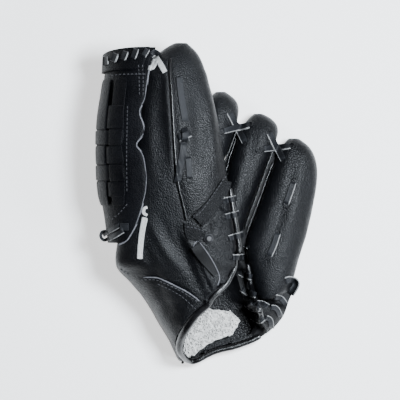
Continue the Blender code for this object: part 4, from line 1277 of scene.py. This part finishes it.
@dataclass
class Fleece:
    """The fleece pad and its tufts, set at chance within the outline, which is in pixels."""

    tufts: int = 900
    across: tuple[float, float] = (180, 242)
    down: tuple[float, float] = (308, 360)
    tuft_length: float = 0.0042
    tuft_radius: float = 0.0007
    lump_height: float = 0.0011
    lump_scale: float = 190.0
    stretch: tuple[float, float, float] = (1.45, 1.20, 1.2)
    shift: tuple[float, float, float] = (-0.0004, -0.0110, 0.0006)
    outline: tuple[Pixel, ...] = (
        (183, 350), (184, 338), (191, 326), (198, 318), (209, 309), (221, 311), (234, 312), (241, 320),
        (232, 335), (217, 340), (205, 346), (196, 354), (189, 359),
    )

    def gather(self, piece: bpy.types.Object) -> None:
        """Moves the vertices beyond the outline in to it.

        Args:
            piece: Mesh object to change.
        """
        corners = [spot(*p) for p in self.outline]
        flat: list[float] = []
        places = []
        for vertex in piece.data.vertices:
            place = vertex.co.copy()
            if not self.inside(place.x / PIXEL + ORIGIN_PX, ORIGIN_PY - place.y / PIXEL):
                here = Vector((place.x, place.y, 0.0))
                best = None
                for a, b in zip(corners, corners[1:] + corners[:1]):
                    share = min(max((here - a).dot(b - a) / (b - a).length_squared, 0.0), 1.0)
                    near = a.lerp(b, share)
                    if best is None or (near - here).length < (best - here).length:
                        best = near
                place.x, place.y = best.x, best.y
            places.append(place)
        move_vertices(piece, places)

    def pad(self) -> bpy.types.Object:
        """Models the pad with a lumpy skin.

        Returns:
            The finished pad.
        """
        piece = copy_node("fleece_lining", "fleece_pad")
        bpy.ops.object.mode_set(mode="EDIT")
        bpy.ops.mesh.select_all(action="SELECT")
        bpy.ops.transform.resize(value=self.stretch)
        bpy.ops.transform.translate(value=self.shift)
        bpy.ops.object.mode_set(mode="OBJECT")
        apply_modifier(piece, "SUBSURF", levels=3, render_levels=3)

        def lump(place: Vector, normal: Vector) -> float:
            """Gives the height of the pile's lumps at a place."""
            at = place * self.lump_scale
            return (noise.noise(at) + 0.6 * noise.noise(at * 2.1)) * self.lump_height

        self.gather(piece)
        displace(piece, lump)
        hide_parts("fleece_lining")
        finish_piece(piece, "fleece", angle=180.0)
        GROUND.add(piece)
        return piece

    def one_tuft(self) -> bpy.types.Mesh:
        """Models one curled tuft that stands along Z.

        Returns:
            The tuft's mesh.
        """
        deselect()
        bpy.ops.mesh.primitive_cone_add(vertices=5, radius1=self.tuft_radius, radius2=self.tuft_radius * 0.75,
                                        depth=self.tuft_length / 3, end_fill_type="NGON",
                                        location=(0, 0, self.tuft_length / 6))
        tuft = bpy.context.object
        settle(tuft)
        bpy.ops.object.mode_set(mode="EDIT")
        for k, lean in enumerate((0.25, 0.55)):
            bm = bmesh.from_edit_mesh(tuft.data)
            top = max(v.co.z for v in bm.verts)
            for face in bm.faces:
                face.select_set(all(v.co.z > top - 1e-5 for v in face.verts))
            bmesh.update_edit_mesh(tuft.data)
            step = self.tuft_length / 3
            bpy.ops.mesh.extrude_region_move(TRANSFORM_OT_translate={"value": (lean * step, 0, step)})
            bpy.ops.transform.resize(value=(0.6, 0.6, 0.4))
        bpy.ops.object.mode_set(mode="OBJECT")
        mesh = tuft.data
        bpy.data.objects.remove(tuft)
        return mesh

    def inside(self, px: float, py: float) -> bool:
        """Tells whether a pixel lies in the fleece's outline."""
        hit = False
        for (ax, ay), (bx, by) in zip(self.outline, self.outline[1:] + self.outline[:1]):
            if (ay > py) != (by > py) and px < (bx - ax) * (py - ay) / (by - ay) + ax:
                hit = not hit
        return hit

    def build(self) -> None:
        """Models the pad and sets the tufts on it."""
        self.pad()
        tuft = self.one_tuft()
        chance = random.Random(7)
        bm = bmesh.new()
        for _ in range(self.tufts):
            px, py = chance.uniform(*self.across), chance.uniform(*self.down)
            flat = spot(px, py)
            found = GROUND.drop(flat.x, flat.y, ("fleece",))
            if not found or not self.inside(px, py):
                continue
            lean = Vector((chance.uniform(-0.8, 0.8), chance.uniform(-0.8, 0.8), 0.6)) + found[1] * 0.5
            turn = lean.to_track_quat("Z", "Y").to_matrix().to_4x4()
            spin = Matrix.Rotation(chance.uniform(0, 2 * math.pi), 4, "Z")
            size = Matrix.Scale(chance.uniform(0.6, 1.25), 4)
            stamp(bm, tuft, Matrix.Translation(found[0] - found[1] * 0.0005) @ turn @ spin @ size)
        finish_piece(stamped_piece("fleece_tufts", bm, tuft), "fleece", angle=180.0)


@dataclass
class Studio:
    """The floor, the lights and the camera."""

    floor_size: float = 6.0
    backdrop: float = 0.62
    glow: float = 1.2
    world: float = 0.02
    lamp_size: float = 0.30
    lamp_colour: Colour = (0.86, 0.93, 1.0)

    def build(self) -> None:
        """Makes the stage and looks straight down on the glove."""
        deselect()
        bpy.ops.mesh.primitive_plane_add(size=self.floor_size)
        floor = bpy.context.object
        floor.name = "studio_floor"
        paint = bpy.data.materials.new("floor_paint")
        paint.use_nodes = True
        shader = paint.node_tree.nodes["Principled BSDF"]
        shader.inputs["Base Color"].default_value = (self.backdrop, self.backdrop, self.backdrop, 1.0)
        shader.inputs["Roughness"].default_value = 0.9
        shader.inputs["Specular IOR Level"].default_value = 0.1
        shader.inputs["Emission Color"].default_value = (1.0, 1.0, 1.0, 1.0)
        shader.inputs["Emission Strength"].default_value = self.glow
        floor.data.materials.append(paint)
        world = bpy.data.worlds.new("studio_world")
        bpy.context.scene.world = world
        world.use_nodes = True
        world.node_tree.nodes["Background"].inputs["Color"].default_value = (1, 1, 1, 1)
        world.node_tree.nodes["Background"].inputs["Strength"].default_value = self.world
        for name, place, power in (
            ("key_light", (0.40, 0.16, 1.15), 58.0),
            ("fill_light", (-0.50, 0.90, 0.9), 2.0),
            ("rim_light", (0.80, -0.50, 0.7), 12.0),
        ):
            bpy.ops.object.light_add(type="AREA", location=place)
            lamp = bpy.context.object
            lamp.name = name
            lamp.data.size = self.lamp_size
            lamp.data.energy = power
            lamp.data.color = self.lamp_colour
            aim = Vector((0, 0, AIM_HEIGHT)) - Vector(place)
            lamp.rotation_euler = aim.to_track_quat("-Z", "Y").to_euler()
        centre = spot(PHOTO_SIDE / 2, PHOTO_SIDE / 2)
        bpy.ops.object.camera_add(location=(centre.x, centre.y, VIEW_HEIGHT), rotation=(0, 0, 0))
        camera = bpy.context.object
        camera.data.sensor_width = SENSOR
        camera.data.lens = SENSOR * (VIEW_HEIGHT - AIM_HEIGHT) / (PHOTO_SIDE * PIXEL)
        camera.data.clip_end = 20.0
        bpy.context.scene.camera = camera


def main() -> None:
    """Builds every sub-assembly in order."""
    logging.basicConfig(level=logging.INFO, format="%(name)s %(message)s")
    mix_finishes()
    Studio().build()
    Shell().build()
    WovenWeb().build()
    Edges().build()
    Fleece().build()
    PalmParts().build()
    Lacing().build()


if __name__ == "__main__":
    main()
